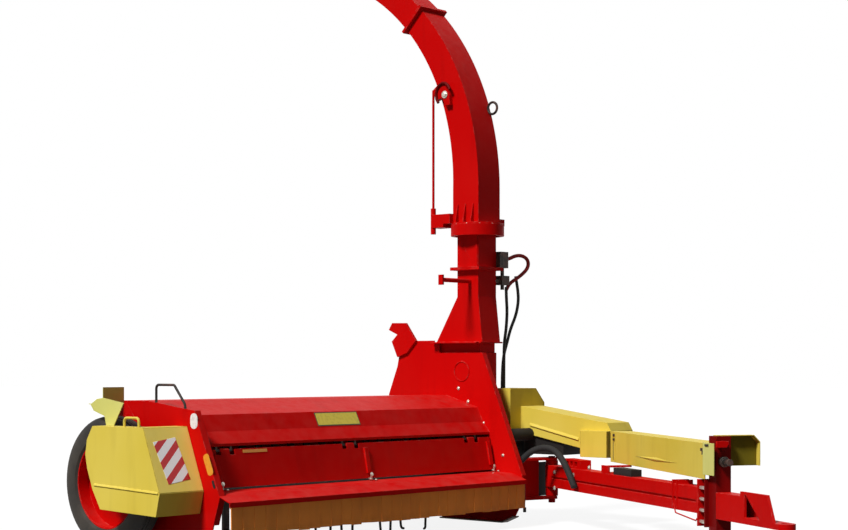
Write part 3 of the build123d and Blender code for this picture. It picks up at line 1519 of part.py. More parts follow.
def gearbox_guard():
    """Tunnel guard that runs forward from the drive cover over the gearbox."""
    low = LEFT_X + TUNNEL_RIGHT_X
    high = LEFT_X + TUNNEL_LEFT_X
    front = TUNNEL_FRONT_Y
    step_y = front + BULGE_LENGTH
    line = (
        (COVER_FRONT_Y, TUNNEL_REAR_LOW_Z),
        (COVER_FRONT_Y, TUNNEL_REAR_TOP_Z),
        (front + 30, TUNNEL_RIDGE_Z),
        (front, TUNNEL_FRONT_TOP_Z),
        (front, TUNNEL_FRONT_LOW_Z),
        (step_y, TUNNEL_FRONT_LOW_Z),
        (step_y, TUNNEL_STEP_Z),
    )
    inner = (
        (COVER_FRONT_Y + 1, TUNNEL_FRONT_LOW_Z - 20),
        (COVER_FRONT_Y + 1, TUNNEL_REAR_TOP_Z - GUARD_SHEET),
        (front + 32, TUNNEL_RIDGE_Z - GUARD_SHEET),
        (front + GUARD_SHEET, TUNNEL_FRONT_TOP_Z - 2),
        (front + GUARD_SHEET, TUNNEL_FRONT_LOW_Z - 20),
    )
    bulge_low = low - BULGE_DEPTH
    bulge = prism_z(
        ((bulge_low, front), (low + 1, front), (low + 1, step_y + 40), (bulge_low, step_y)),
        TUNNEL_FRONT_LOW_Z,
        TUNNEL_FRONT_TOP_Z,
    )
    sheet = GUARD_SHEET
    bulge_room = prism_z(
        (
            (bulge_low + sheet, front + sheet),
            (low + 2 * sheet, front + sheet),
            (low + 2 * sheet, step_y + 36),
            (bulge_low + sheet, step_y - 2),
        ),
        TUNNEL_FRONT_LOW_Z - 1,
        TUNNEL_FRONT_TOP_Z - sheet,
    )
    shell = prism_x(line, low, high) + bulge
    shell = shell - prism_x(inner, low + sheet, high - sheet) - bulge_room
    hole_r = GEARBOX_TUBE_R + RUNNING_GAP
    return shell - rod_x(GEARBOX_Y, GEARBOX_Z, hole_r, low - 1, low + 2 * GUARD_SHEET)


def gearbox():
    """Bevel gearbox under the tunnel guard, on the drive cover's side."""
    x = LEFT_X + (TUNNEL_RIGHT_X + TUNNEL_LEFT_X) / 2
    low = x - GEARBOX_HALF
    body = block(
        low, x + GEARBOX_HALF, GEARBOX_FRONT_Y, GEARBOX_REAR_Y, GEARBOX_LOW_Z, GEARBOX_HIGH_Z
    )
    input_stub = rod_y(x, GEARBOX_Z, 24, TUNNEL_FRONT_Y + 120, GEARBOX_FRONT_Y)
    cross = rod_x(GEARBOX_Y, GEARBOX_Z, GEARBOX_TUBE_R, LEFT_X + PLATE, low)
    return body + input_stub + cross


# ---------------------------------------------------------------- all nodes
NODES = {
    "side_plate_right": side_plate_right,
    "side_plate_left": side_plate_left,
    "skids": skids,
    "roof_hood": roof_hood,
    "rear_trough": rear_trough,
    "feed_lip": feed_lip,
    "strip_curtain": strip_curtain,
    "door_hinge_pins": door_hinge_pins,
    "front_door": front_door,
    "door_latches": door_latches,
    "flail_rotor": flail_rotor,
    "rotor_bearings": rotor_bearings,
    "tyre_right": lambda: tyre(RIGHT_WHEEL_X),
    "tyre_left": lambda: tyre(LEFT_WHEEL_X),
    "rim_right": lambda: rim(RIGHT_WHEEL_X, -1),
    "rim_left": lambda: rim(LEFT_WHEEL_X, 1),
    "wheel_arm_right": lambda: wheel_arm(0, -1, RIGHT_WHEEL_X),
    "wheel_arm_left": lambda: wheel_arm(CASING_LEFT_X, 1, LEFT_WHEEL_X),
    "axle_tube": axle_tube,
    "belt_guard": belt_guard,
    "warning_plate": warning_plate,
    "guard_handle": guard_handle,
    "guard_bracket": guard_bracket,
    "roof_handle": roof_handle,
    "blower_casing": blower_casing,
    "throat": throat,
    "hopper": hopper,
    "neck": neck,
    "lock_pin": lock_pin,
    "valve_block": valve_block,
    "lock_ear": lock_ear,
    "turret": turret,
    "spout_base": spout_base,
    "spout_lower": spout_lower,
    "spout_upper": spout_upper,
    "spout_flap": spout_flap,
    "crank_bracket": crank_bracket,
    "control_rod": control_rod,
    "spout_bracket": spout_bracket,
    "lifting_ring": lifting_ring,
    "drawbar_beam": drawbar_beam,
    "end_plate": end_plate,
    "spacer_bolts": spacer_bolts,
    "beam_anchor": beam_anchor,
    "guard_stand": guard_stand,
    "rest_block": rest_block,
    "hitch_tongue": hitch_tongue,
    "bearing_post": bearing_post,
    "drive_shaft": drive_shaft,
    "drive_guard": drive_guard,
    "guard_cap": guard_cap,
    "input_shield": input_shield,
    "jack_leg": jack_leg,
    "swing_bracket": swing_bracket,
    "hose_gland": hose_gland,
    "swing_hose": swing_hose,
    "drive_cover": drive_cover,
    "gearbox_guard": gearbox_guard,
    "gearbox": gearbox,
}


def as_compound(shape):
    """One compound of a node's solids."""
    if isinstance(shape, (list, tuple)):
        solids = [solid for piece in shape for solid in piece.solids()]
    else:
        solids = shape.solids()
    return Compound(solids) if len(solids) > 1 else solids[0]


shapes = {name: as_compound(build()) for name, build in NODES.items()}
boxes = [shape.bounding_box() for shape in shapes.values()]
MIDDLE_X = (min(box.min.X for box in boxes) + max(box.max.X for box in boxes)) / 2
MIDDLE_Y = (min(box.min.Y for box in boxes) + max(box.max.Y for box in boxes)) / 2
LOWEST_Z = min(box.min.Z for box in boxes)

os.makedirs(OUT, exist_ok=True)
for name, shape in shapes.items():
    export_step(Pos(-MIDDLE_X, -MIDDLE_Y, -LOWEST_Z) * shape, os.path.join(OUT, name + ".step"))
print("hose bends", [round(bend, 1) for bend in hose_arcs(HOSE_ROUTE)], "radius", HOSE_R)
print("layout origin", round(MIDDLE_X, 3), round(MIDDLE_Y, 3), round(LOWEST_Z, 3))
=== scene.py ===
"""Looks of a trailed flail forage harvester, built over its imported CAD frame."""

from __future__ import annotations

import json
import logging
import math
import random
from dataclasses import dataclass
from enum import Enum

import bmesh
import bpy
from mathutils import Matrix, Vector

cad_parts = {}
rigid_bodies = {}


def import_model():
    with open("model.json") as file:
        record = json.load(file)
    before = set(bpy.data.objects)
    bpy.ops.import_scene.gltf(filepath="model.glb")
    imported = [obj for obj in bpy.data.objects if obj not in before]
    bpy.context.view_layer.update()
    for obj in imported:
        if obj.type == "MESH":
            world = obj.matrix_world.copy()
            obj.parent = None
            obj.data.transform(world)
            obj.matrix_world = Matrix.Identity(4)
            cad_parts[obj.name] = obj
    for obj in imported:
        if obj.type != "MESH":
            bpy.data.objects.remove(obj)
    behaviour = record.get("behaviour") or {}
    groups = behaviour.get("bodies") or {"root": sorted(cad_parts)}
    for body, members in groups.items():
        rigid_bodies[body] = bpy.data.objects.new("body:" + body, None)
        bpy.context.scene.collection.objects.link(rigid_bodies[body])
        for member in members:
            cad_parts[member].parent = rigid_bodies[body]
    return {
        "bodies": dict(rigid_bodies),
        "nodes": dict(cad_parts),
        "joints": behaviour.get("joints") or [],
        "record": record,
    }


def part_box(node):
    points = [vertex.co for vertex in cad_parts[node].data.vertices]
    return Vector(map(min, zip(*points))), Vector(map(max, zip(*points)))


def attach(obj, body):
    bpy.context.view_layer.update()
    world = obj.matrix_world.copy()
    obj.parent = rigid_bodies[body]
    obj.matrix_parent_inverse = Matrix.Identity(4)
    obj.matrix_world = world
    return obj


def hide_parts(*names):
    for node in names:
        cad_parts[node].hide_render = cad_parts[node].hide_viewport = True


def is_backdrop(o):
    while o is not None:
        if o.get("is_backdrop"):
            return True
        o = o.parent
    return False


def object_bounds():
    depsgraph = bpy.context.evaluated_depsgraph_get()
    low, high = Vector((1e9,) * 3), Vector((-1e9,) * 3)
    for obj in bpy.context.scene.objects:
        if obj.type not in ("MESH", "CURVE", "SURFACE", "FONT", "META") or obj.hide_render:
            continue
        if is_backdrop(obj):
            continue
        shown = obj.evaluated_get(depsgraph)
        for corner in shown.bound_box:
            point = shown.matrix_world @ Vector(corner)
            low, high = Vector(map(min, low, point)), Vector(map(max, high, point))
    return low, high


log = logging.getLogger("harvester")

Point = tuple[float, float, float]
Flat = tuple[float, float]


# ---------------------------------------------------------------- finishes
def colour(code: str) -> tuple[float, float, float, float]:
    """Turns an sRGB code such as "C81010" into a linear colour.

    Args:
        code: Six hexadecimal digits.

    Returns:
        Red, green, blue and a full alpha for a shader socket.
    """
    toe, slope, offset, power = 0.04045, 12.92, 0.055, 2.4
    parts = [int(code[index : index + 2], 16) / 255 for index in (0, 2, 4)]
    linear = [v / slope if v <= toe else ((v + offset) / (1 + offset)) ** power for v in parts]
    return (*linear, 1.0)


@dataclass(frozen=True)
class Grain:
    """One noise pattern, and the span of its values that turns into 0 to 1."""

    scale: float
    detail: float = 4.0
    low: float = 0.0
    high: float = 1.0
    stretch: Point = (1.0, 1.0, 1.0)


@dataclass(frozen=True)
class Relief:
    """How strong and how high (in metres) a bump is, and the radius of the rounded look of edges."""

    strength: float
    height: float
    edge: float = 0.0


class Tree:
    """A short way to write one material's node tree."""

    bevel_samples = 4
    edge_low = 0.01
    edge_high = 0.25

    def __init__(self, name: str) -> None:
        """Makes the material with an empty tree, a Principled shader and an output.

        Args:
            name: The material's name.
        """
        self.material = bpy.data.materials.new(name)
        self.material.use_nodes = True
        self.nodes = self.material.node_tree.nodes
        self.links = self.material.node_tree.links
        self.nodes.clear()
        self.shader = self.nodes.new("ShaderNodeBsdfPrincipled")
        output = self.nodes.new("ShaderNodeOutputMaterial")
        self.links.new(self.shader.outputs[0], output.inputs[0])
        self.place = self.nodes.new("ShaderNodeTexCoord").outputs["Object"]

    def put(self, socket: bpy.types.NodeSocket, value: object) -> None:
        """Links a socket to another, or sets its value.

        Args:
            socket: Input socket.
            value: Output socket, number or colour.
        """
        if isinstance(value, bpy.types.NodeSocket):
            self.links.new(value, socket)
        else:
            socket.default_value = value

    def math(self, kind: str, a: object, b: object = 0.0) -> bpy.types.NodeSocket:
        """Adds a Math node and returns its output.

        Args:
            kind: Operation.
            a: First value.
            b: Second value.

        Returns:
            The node's output socket.
        """
        node = self.nodes.new("ShaderNodeMath")
        node.operation = kind
        self.put(node.inputs[0], a)
        self.put(node.inputs[1], b)
        return node.outputs[0]

    def times(self, a: object, b: object) -> bpy.types.NodeSocket:
        """Returns the product of two values."""
        return self.math("MULTIPLY", a, b)

    def split(self, socket: bpy.types.NodeSocket) -> list[bpy.types.NodeSocket]:
        """Splits a vector.

        Args:
            socket: Vector socket.

        Returns:
            Its x, y and z sockets.
        """
        node = self.nodes.new("ShaderNodeSeparateXYZ")
        self.links.new(socket, node.inputs[0])
        return list(node.outputs)

    def noise(self, grain: Grain) -> bpy.types.NodeSocket:
        """Adds a noise over the object's own coordinates, before the grain's span is cut from it.

        Args:
            grain: Scale, detail and stretch of the noise.

        Returns:
            The noise's factor socket.
        """
        mapping = self.nodes.new("ShaderNodeMapping")
        mapping.inputs["Scale"].default_value = grain.stretch
        self.links.new(self.place, mapping.inputs["Vector"])
        node = self.nodes.new("ShaderNodeTexNoise")
        node.inputs["Scale"].default_value = grain.scale
        node.inputs["Detail"].default_value = grain.detail
        self.links.new(mapping.outputs[0], node.inputs["Vector"])
        return node.outputs["Fac"]

    def ramp(self, value: object, low: float, high: float) -> bpy.types.NodeSocket:
        """Maps a value from low..high to 0..1, clamped.

        Args:
            value: Value to map.
            low: What becomes 0.
            high: What becomes 1.

        Returns:
            The mapped value.
        """
        node = self.nodes.new("ShaderNodeMapRange")
        self.put(node.inputs["Value"], value)
        node.inputs["From Min"].default_value = low
        node.inputs["From Max"].default_value = high
        return node.outputs[0]

    def patches(self, grain: Grain) -> bpy.types.NodeSocket:
        """Returns patches of 0 to 1 from a grain's noise and span."""
        return self.ramp(self.noise(grain), grain.low, grain.high)

    def mix(self, factor: object, first: object, second: object) -> bpy.types.NodeSocket:
        """Mixes two colours.

        Args:
            factor: Share of the second colour.
            first: First colour.
            second: Second colour.

        Returns:
            The mixed colour.
        """
        node = self.nodes.new("ShaderNodeMix")
        node.data_type = "RGBA"
        self.put(node.inputs[0], factor)
        self.put(node.inputs[6], first)
        self.put(node.inputs[7], second)
        return node.outputs[2]

    def gloss(self, grain: Grain, span: float, start: float) -> None:
        """Gives the shader a roughness that varies with a noise.

        Args:
            grain: The noise.
            span: How much the roughness varies.
            start: The lowest roughness.
        """
        varied = self.math("MULTIPLY_ADD", self.noise(grain), span)
        varied.node.inputs[2].default_value = start
        self.put(self.shader.inputs["Roughness"], varied)

    def rounded(self, radius: float) -> bpy.types.NodeSocket:
        """Rounds the look of edges.

        Args:
            radius: Radius in metres.

        Returns:
            The rounded normal.
        """
        node = self.nodes.new("ShaderNodeBevel")
        node.samples = self.bevel_samples
        node.inputs["Radius"].default_value = radius
        return node.outputs[0]

    def bump(self, height: object, relief: Relief) -> None:
        """Gives the shader a bump, over rounded edges where the relief has them.

        Args:
            height: Height socket.
            relief: Strength, height and edge radius.
        """
        node = self.nodes.new("ShaderNodeBump")
        node.inputs["Strength"].default_value = relief.strength
        node.inputs["Distance"].default_value = relief.height
        self.put(node.inputs["Height"], height)
        if relief.edge > 0:
            self.links.new(self.rounded(relief.edge), node.inputs["Normal"])
        self.links.new(node.outputs[0], self.shader.inputs["Normal"])

    def edges(self, radius: float) -> bpy.types.NodeSocket:
        """Returns a mask that is high along the model's edges.

        Args:
            radius: Width of the edge band in metres.

        Returns:
            A socket from 0 on flat ground to about 1 on an edge.
        """
        geometry = self.nodes.new("ShaderNodeNewGeometry")
        node = self.nodes.new("ShaderNodeVectorMath")
        node.operation = "DOT_PRODUCT"
        self.links.new(self.rounded(radius), node.inputs[0])
        self.links.new(geometry.outputs["Normal"], node.inputs[1])
        return self.ramp(self.math("SUBTRACT", 1.0, node.outputs["Value"]), self.edge_low, self.edge_high)

    def upward(self) -> bpy.types.NodeSocket:
        """Returns how far the surface faces up, from 0 to 1."""
        geometry = self.nodes.new("ShaderNodeNewGeometry")
        return self.math("MAXIMUM", self.split(geometry.outputs["Normal"])[2], 0.0)


@dataclass(frozen=True)
class Paint:
    """Machine paint that has faded in patches, with wear along its edges and a lighter tone on upward faces
    that is partly settled dust and partly a painted sky sheen.
    """

    name: str
    base: str
    faded: str
    grime: str
    worn: str
    # colour of upward faces: partly real dust, partly a painted sheen of the sky
    dust: str
    roughness: float = 0.5
    specular: float = 0.06
    fading: Grain = Grain(1.7, 3, 0.35, 0.7)
    streaks: Grain = Grain(9, 4, 0.52, 0.8, (1, 1, 0.16))
    streak_share: float = 0.35
    top_dust_and_sheen: Grain = Grain(14, 5, 0.3, 0.8)
    dust_and_sheen_share: float = 0.3
    chips: Grain = Grain(26, 3, 0.5, 0.62)
    chip_band: float = 0.004
    chip_share: float = 0.75
    mottle: Grain = Grain(42, 6)
    mottle_span: float = 0.2
    peel: Grain = Grain(18, 5)
    relief: Relief = Relief(0.12, 0.002, 0.003)

    def build(self) -> bpy.types.Material:
        """Builds the paint's nodes.

        Returns:
            The paint as a material.
        """
        tree = Tree(self.name)
        tone = tree.mix(tree.patches(self.fading), colour(self.base), colour(self.faded))
        streaks = tree.times(tree.patches(self.streaks), self.streak_share)
        tone = tree.mix(streaks, tone, colour(self.grime))
        # upward faces lighten: partly dust, partly painted sky sheen
        top_dust_and_sheen = tree.times(tree.upward(), tree.patches(self.top_dust_and_sheen))
        tone = tree.mix(tree.times(top_dust_and_sheen, self.dust_and_sheen_share), tone, colour(self.dust))
        chips = tree.times(tree.edges(self.chip_band), tree.patches(self.chips))
        tone = tree.mix(tree.times(chips, self.chip_share), tone, colour(self.worn))
        tree.put(tree.shader.inputs["Base Color"], tone)
        tree.gloss(self.mottle, self.mottle_span, self.roughness - self.mottle_span / 2)
        tree.shader.inputs["Specular IOR Level"].default_value = self.specular
        tree.bump(tree.noise(self.peel), self.relief)
        return tree.material


@dataclass(frozen=True)
class Metal:
    """Plain steel or iron with scratches and rust in its hollows."""

    name: str
    base: str
    rust: str
    metallic: float
    roughness: float
    rusting: float
    rubbed: str = "9A958C"
    rubbed_band: float = 0.003
    rubbed_share: float = 0.5
    rust_grain: Grain = Grain(19, 6, 0.62, 0.72)
    rust_reach: float = 0.3
    brushing: Grain = Grain(60, 3, stretch=(1, 8, 1))
    brushing_span: float = 0.25
    pitting: Grain = Grain(70, 6)
    relief: Relief = Relief(0.25, 0.001, 0.002)

    def build(self) -> bpy.types.Material:
        """Builds the metal's nodes.

        Returns:
            The metal as a material.
        """
        tree = Tree(self.name)
        start = self.rust_grain.low - self.rusting * self.rust_reach
        patches = tree.ramp(tree.noise(self.rust_grain), start, self.rust_grain.high)
        tone = tree.mix(patches, colour(self.base), colour(self.rust))
        rubbed = tree.times(tree.edges(self.rubbed_band), self.rubbed_share)
        tree.put(tree.shader.inputs["Base Color"], tree.mix(rubbed, tone, colour(self.rubbed)))
        clean = tree.math("SUBTRACT", 1.0, patches)
        tree.put(tree.shader.inputs["Metallic"], tree.times(clean, self.metallic))
        tree.gloss(self.brushing, self.brushing_span, self.roughness)
        tree.bump(tree.noise(self.pitting), self.relief)
        return tree.material


@dataclass(frozen=True)
class Rubber:
    """Dull rubber with dust in patches."""

    name: str
    base: str
    dust: str
    dusty: float = 0.4
    roughness: float = 0.8
    specular: float = 0.35
    dusting: Grain = Grain(7, 6, 0.35, 0.75)
    grain: Grain = Grain(90, 4)
    relief: Relief = Relief(0.3, 0.0015)

    def build(self) -> bpy.types.Material:
        """Builds the rubber's nodes.

        Returns:
            The rubber as a material.
        """
        tree = Tree(self.name)
        patches = tree.times(tree.patches(self.dusting), self.dusty)
        tone = tree.mix(patches, colour(self.base), colour(self.dust))
        tree.put(tree.shader.inputs["Base Color"], tone)
        tree.shader.inputs["Roughness"].default_value = self.roughness
        tree.shader.inputs["Specular IOR Level"].default_value = self.specular
        tree.bump(tree.noise(self.grain), self.relief)
        return tree.material


@dataclass(frozen=True)
class Belting:
    """Brown reinforced rubber strips with a woven face, in a brightened orange that paints the light they
    catch, and darker in patches towards the foot.
    """

    name: str = "curtain_belting"
    # base and shade are brighter than the strips' own brown: painted light for the light they catch
    base: str = "EE8E30"
    shade: str = "C06C20"
    low_tone: str = "6A4018"
    foot: float = 0.10
    head: float = 0.16
    roughness: float = 0.75
    streaks: Grain = Grain(12, 4, 0.4, 0.75, (1, 1, 0.2))
    streak_share: float = 0.45
    low_patches: Grain = Grain(24, 5, 0.3, 0.75)
    low_share: float = 0.4
    threads: float = 2400.0
    relief: Relief = Relief(0.25, 0.0006)

    def build(self) -> bpy.types.Material:
        """Builds the belting's nodes.

        Returns:
            The belting as a material.
        """
        tree = Tree(self.name)
        across, _, height = tree.split(tree.place)
        streaks = tree.times(tree.patches(self.streaks), self.streak_share)
        tone = tree.mix(streaks, colour(self.base), colour(self.shade))
        # darker in patches towards the foot
        low_patches = tree.times(tree.ramp(height, self.head, self.foot), tree.patches(self.low_patches))
        tone = tree.mix(tree.times(low_patches, self.low_share), tone, colour(self.low_tone))
        tree.put(tree.shader.inputs["Base Color"], tone)
        tree.shader.inputs["Roughness"].default_value = self.roughness
        warp = tree.math("SINE", tree.times(across, self.threads))
        weft = tree.math("SINE", tree.times(height, self.threads))
        tree.bump(tree.times(warp, weft), self.relief)
        return tree.material


@dataclass(frozen=True)
class Stripes:
    """White enamel plate with slanting red stripes."""

    name: str = "warning_stripes"
    white: str = "FFFFFF"
    red: str = "C80C18"
    scuff: str = "B9A9A0"
    pitch: float = 0.095
    slope: float = 0.8
    start: float = 0.28
    white_share: float = 0.54
    roughness: float = 0.3
    scuffs: Grain = Grain(22, 5, 0.55, 0.8)
    scuff_share: float = 0.08
    waves: Grain = Grain(30, 3)
    relief: Relief = Relief(0.05, 0.001, 0.002)

    def build(self) -> bpy.types.Material:
        """Builds the striped plate's nodes.

        Returns:
            The striped plate as a material.
        """
        tree = Tree(self.name)
        across, _, up = tree.split(tree.place)
        run = tree.math("SUBTRACT", up, tree.times(across, self.slope))
        share = tree.math("FRACT", tree.math("ADD", tree.math("DIVIDE", run, self.pitch), self.start))
        band = tree.math("GREATER_THAN", share, self.white_share)
        tone = tree.mix(band, colour(self.white), colour(self.red))
        scuffs = tree.times(tree.patches(self.scuffs), self.scuff_share)
        tree.put(tree.shader.inputs["Base Color"], tree.mix(scuffs, tone, colour(self.scuff)))
        tree.shader.inputs["Roughness"].default_value = self.roughness
        tree.bump(tree.noise(self.waves), self.relief)
        return tree.material


@dataclass(frozen=True)
class PrintedFilm:
    """Printed film with a slightly mottled face."""

    name: str
    base: str
    worn: str
    roughness: float = 0.35
    wear: Grain = Grain(55, 6, 0.48, 0.7)
    wear_share: float = 0.55
    waves: Grain = Grain(25, 3)
    relief: Relief = Relief(0.1, 0.0008)

    def build(self) -> bpy.types.Material:
        """Builds the printed film's nodes.

        Returns:
            The film as a material.
        """
        tree = Tree(self.name)
        wear = tree.times(tree.patches(self.wear), self.wear_share)
        tone = tree.mix(wear, colour(self.base), colour(self.worn))
        tree.put(tree.shader.inputs["Base Color"], tone)
        tree.shader.inputs["Roughness"].default_value = self.roughness
        tree.bump(tree.noise(self.waves), self.relief)
        return tree.material


class Finish(Enum):
    """Every finish on the machine.

    A paint gives its name, base, faded, grime, worn-edge and dust colours and its roughness, where the
    dust colour on upward faces is partly dust and partly a painted sky sheen; a metal its name, base and
    rust colours, metallic share, roughness and rust; a rubber its name, base and dust colours and how
    dusty it is; a printed film its name, base and worn colours.
    """

    RED = Paint("red_paint", "C40101", "C80906", "940303", "D07A70", "C45A52")
    # dark red, also used as painted shade on the bearing post's front
    DARK_RED_AND_SHADE = Paint("dark_red_paint_and_shade", "6A0202", "7A0606", "4A0202", "3A1A14", "8A3A34")
    YELLOW = Paint("yellow_paint", "DAC146", "E2CB58", "B89E3E", "8A7438", "E8DCA0", 0.55)
    # painted light: a brighter yellow for the belt guard's sloping front, standing in for the light that
    # face catches
    LIT_YELLOW_PANEL = Paint("painted_light_yellow_panel", "FFE468", "FFE878", "E8C850", "8A7438", "FFF4B8", 0.5)
    # painted shade: dark yellow for the inside of the drive shield, which lies in shade
    SHADED_YELLOW = Paint("painted_shade_yellow", "6E6216", "766A1C", "4E4610", "3A3410", "8A7E3A", 0.6)
    LIME = Paint("lime_paint", "D2CE70", "D8D47C", "B0AC58", "8A8648", "E4E0A8", 0.55)
    STEEL = Metal("bare_steel", "8C867C", "6B4A34", 0.85, 0.32, 0.35)
    BRIGHT = Metal("bolt_zinc", "C9C4B8", "8A6A50", 0.9, 0.25, 0.05)
    IRON = Metal("dark_iron", "2A2522", "4A2A1C", 0.6, 0.5, 0.5)
    TYRE = Rubber("tyre", "1D1B19", "5A5146", 0.45)
    HOSE = Rubber("black_hose", "141414", "4A4640", 0.3)
    RED_HOSE = Rubber("red_hose", "8A1012", "5A1A18", 0.2)
    # painted shade: near black for the shade inside a slot
    SLOT_SHADE = Rubber("painted_shade_gap", "120A08", "2A1A14", 0.3)
    # black for black parts, and painted shade for the gearbox in the dark space under the tunnel
    BLACK_AND_SHADE = Rubber("black_and_painted_shade", "100D0B", "221A14", 0.4)
    BELTING = Belting()
    STRIPES = Stripes()
    NAMEPLATE = PrintedFilm("blank_nameplate", "D9C63A", "B8A42C")
    NAME_FRAME = PrintedFilm("nameplate_frame", "3A3A1A", "55502A")
    WHITE_FILM = PrintedFilm("white_sticker", "E9E3E2", "B8AEB0")
    ORANGE_FILM = PrintedFilm("orange_sticker", "E0982A", "D8702A")


FINISH_OF_SLOT: dict[str, Finish] = {
    "red_paint": Finish.RED,
    "yellow_paint": Finish.YELLOW,
    "bare_steel": Finish.STEEL,
    "dark_iron": Finish.IRON,
    "tyre": Finish.TYRE,
    "curtain_rubber": Finish.BELTING,
    "hose_rubber": Finish.HOSE,
    "warning_stripes": Finish.STRIPES,
}
FINISH_OF_NODE: dict[str, Finish] = {
    "jack_leg": Finish.DARK_RED_AND_SHADE,
    "spacer_bolts": Finish.BRIGHT,
    # painted shade: the post's dark red stands for the shade on its front
    "bearing_post": Finish.DARK_RED_AND_SHADE,
    "guard_bracket": Finish.LIME,
    # painted shade: the gearbox is black for the shade under the tunnel over it
    "gearbox": Finish.BLACK_AND_SHADE,
    "rest_block": Finish.BLACK_AND_SHADE,
    "skids": Finish.IRON,
}


class Paints:
    """Builds each finish once and hands it out."""

    def __init__(self) -> None:
        """Starts with nothing built."""
        self.built: dict[Finish, bpy.types.Material] = {}

    def get(self, finish: Finish) -> bpy.types.Material:
        """Builds a finish at its first use.

        Args:
            finish: The finish.

        Returns:
            Its material.
        """
        if finish not in self.built:
            self.built[finish] = finish.value.build()
        return self.built[finish]


# ---------------------------------------------------------------- shapes
X_AXIS = Vector((1, 0, 0))
Y_AXIS = Vector((0, 1, 0))
Z_AXIS = Vector((0, 0, 1))
SNUG = 0.0005  # gap under what lies on a plate
HEXAGON = 6  # sides of what is round or hexagonal, from small to large
THIN = 8
ROUND = 12
FINE = 14
WIDE = 40


def ring(centre: Vector, across: Vector, beside: Vector, radius: float, sides: int) -> list[Vector]:
    """Returns points of a circle.

    Args:
        centre: Its middle.
        across: Unit vector to its first point.
        beside: Unit vector at right angles to that, in its plane.
        radius: Its radius.
        sides: Number of points.

    Returns:
        The points in order.
    """
    turns = [math.tau * side / sides for side in range(sides)]
    return [centre + (across * math.cos(turn) + beside * math.sin(turn)) * radius for turn in turns]


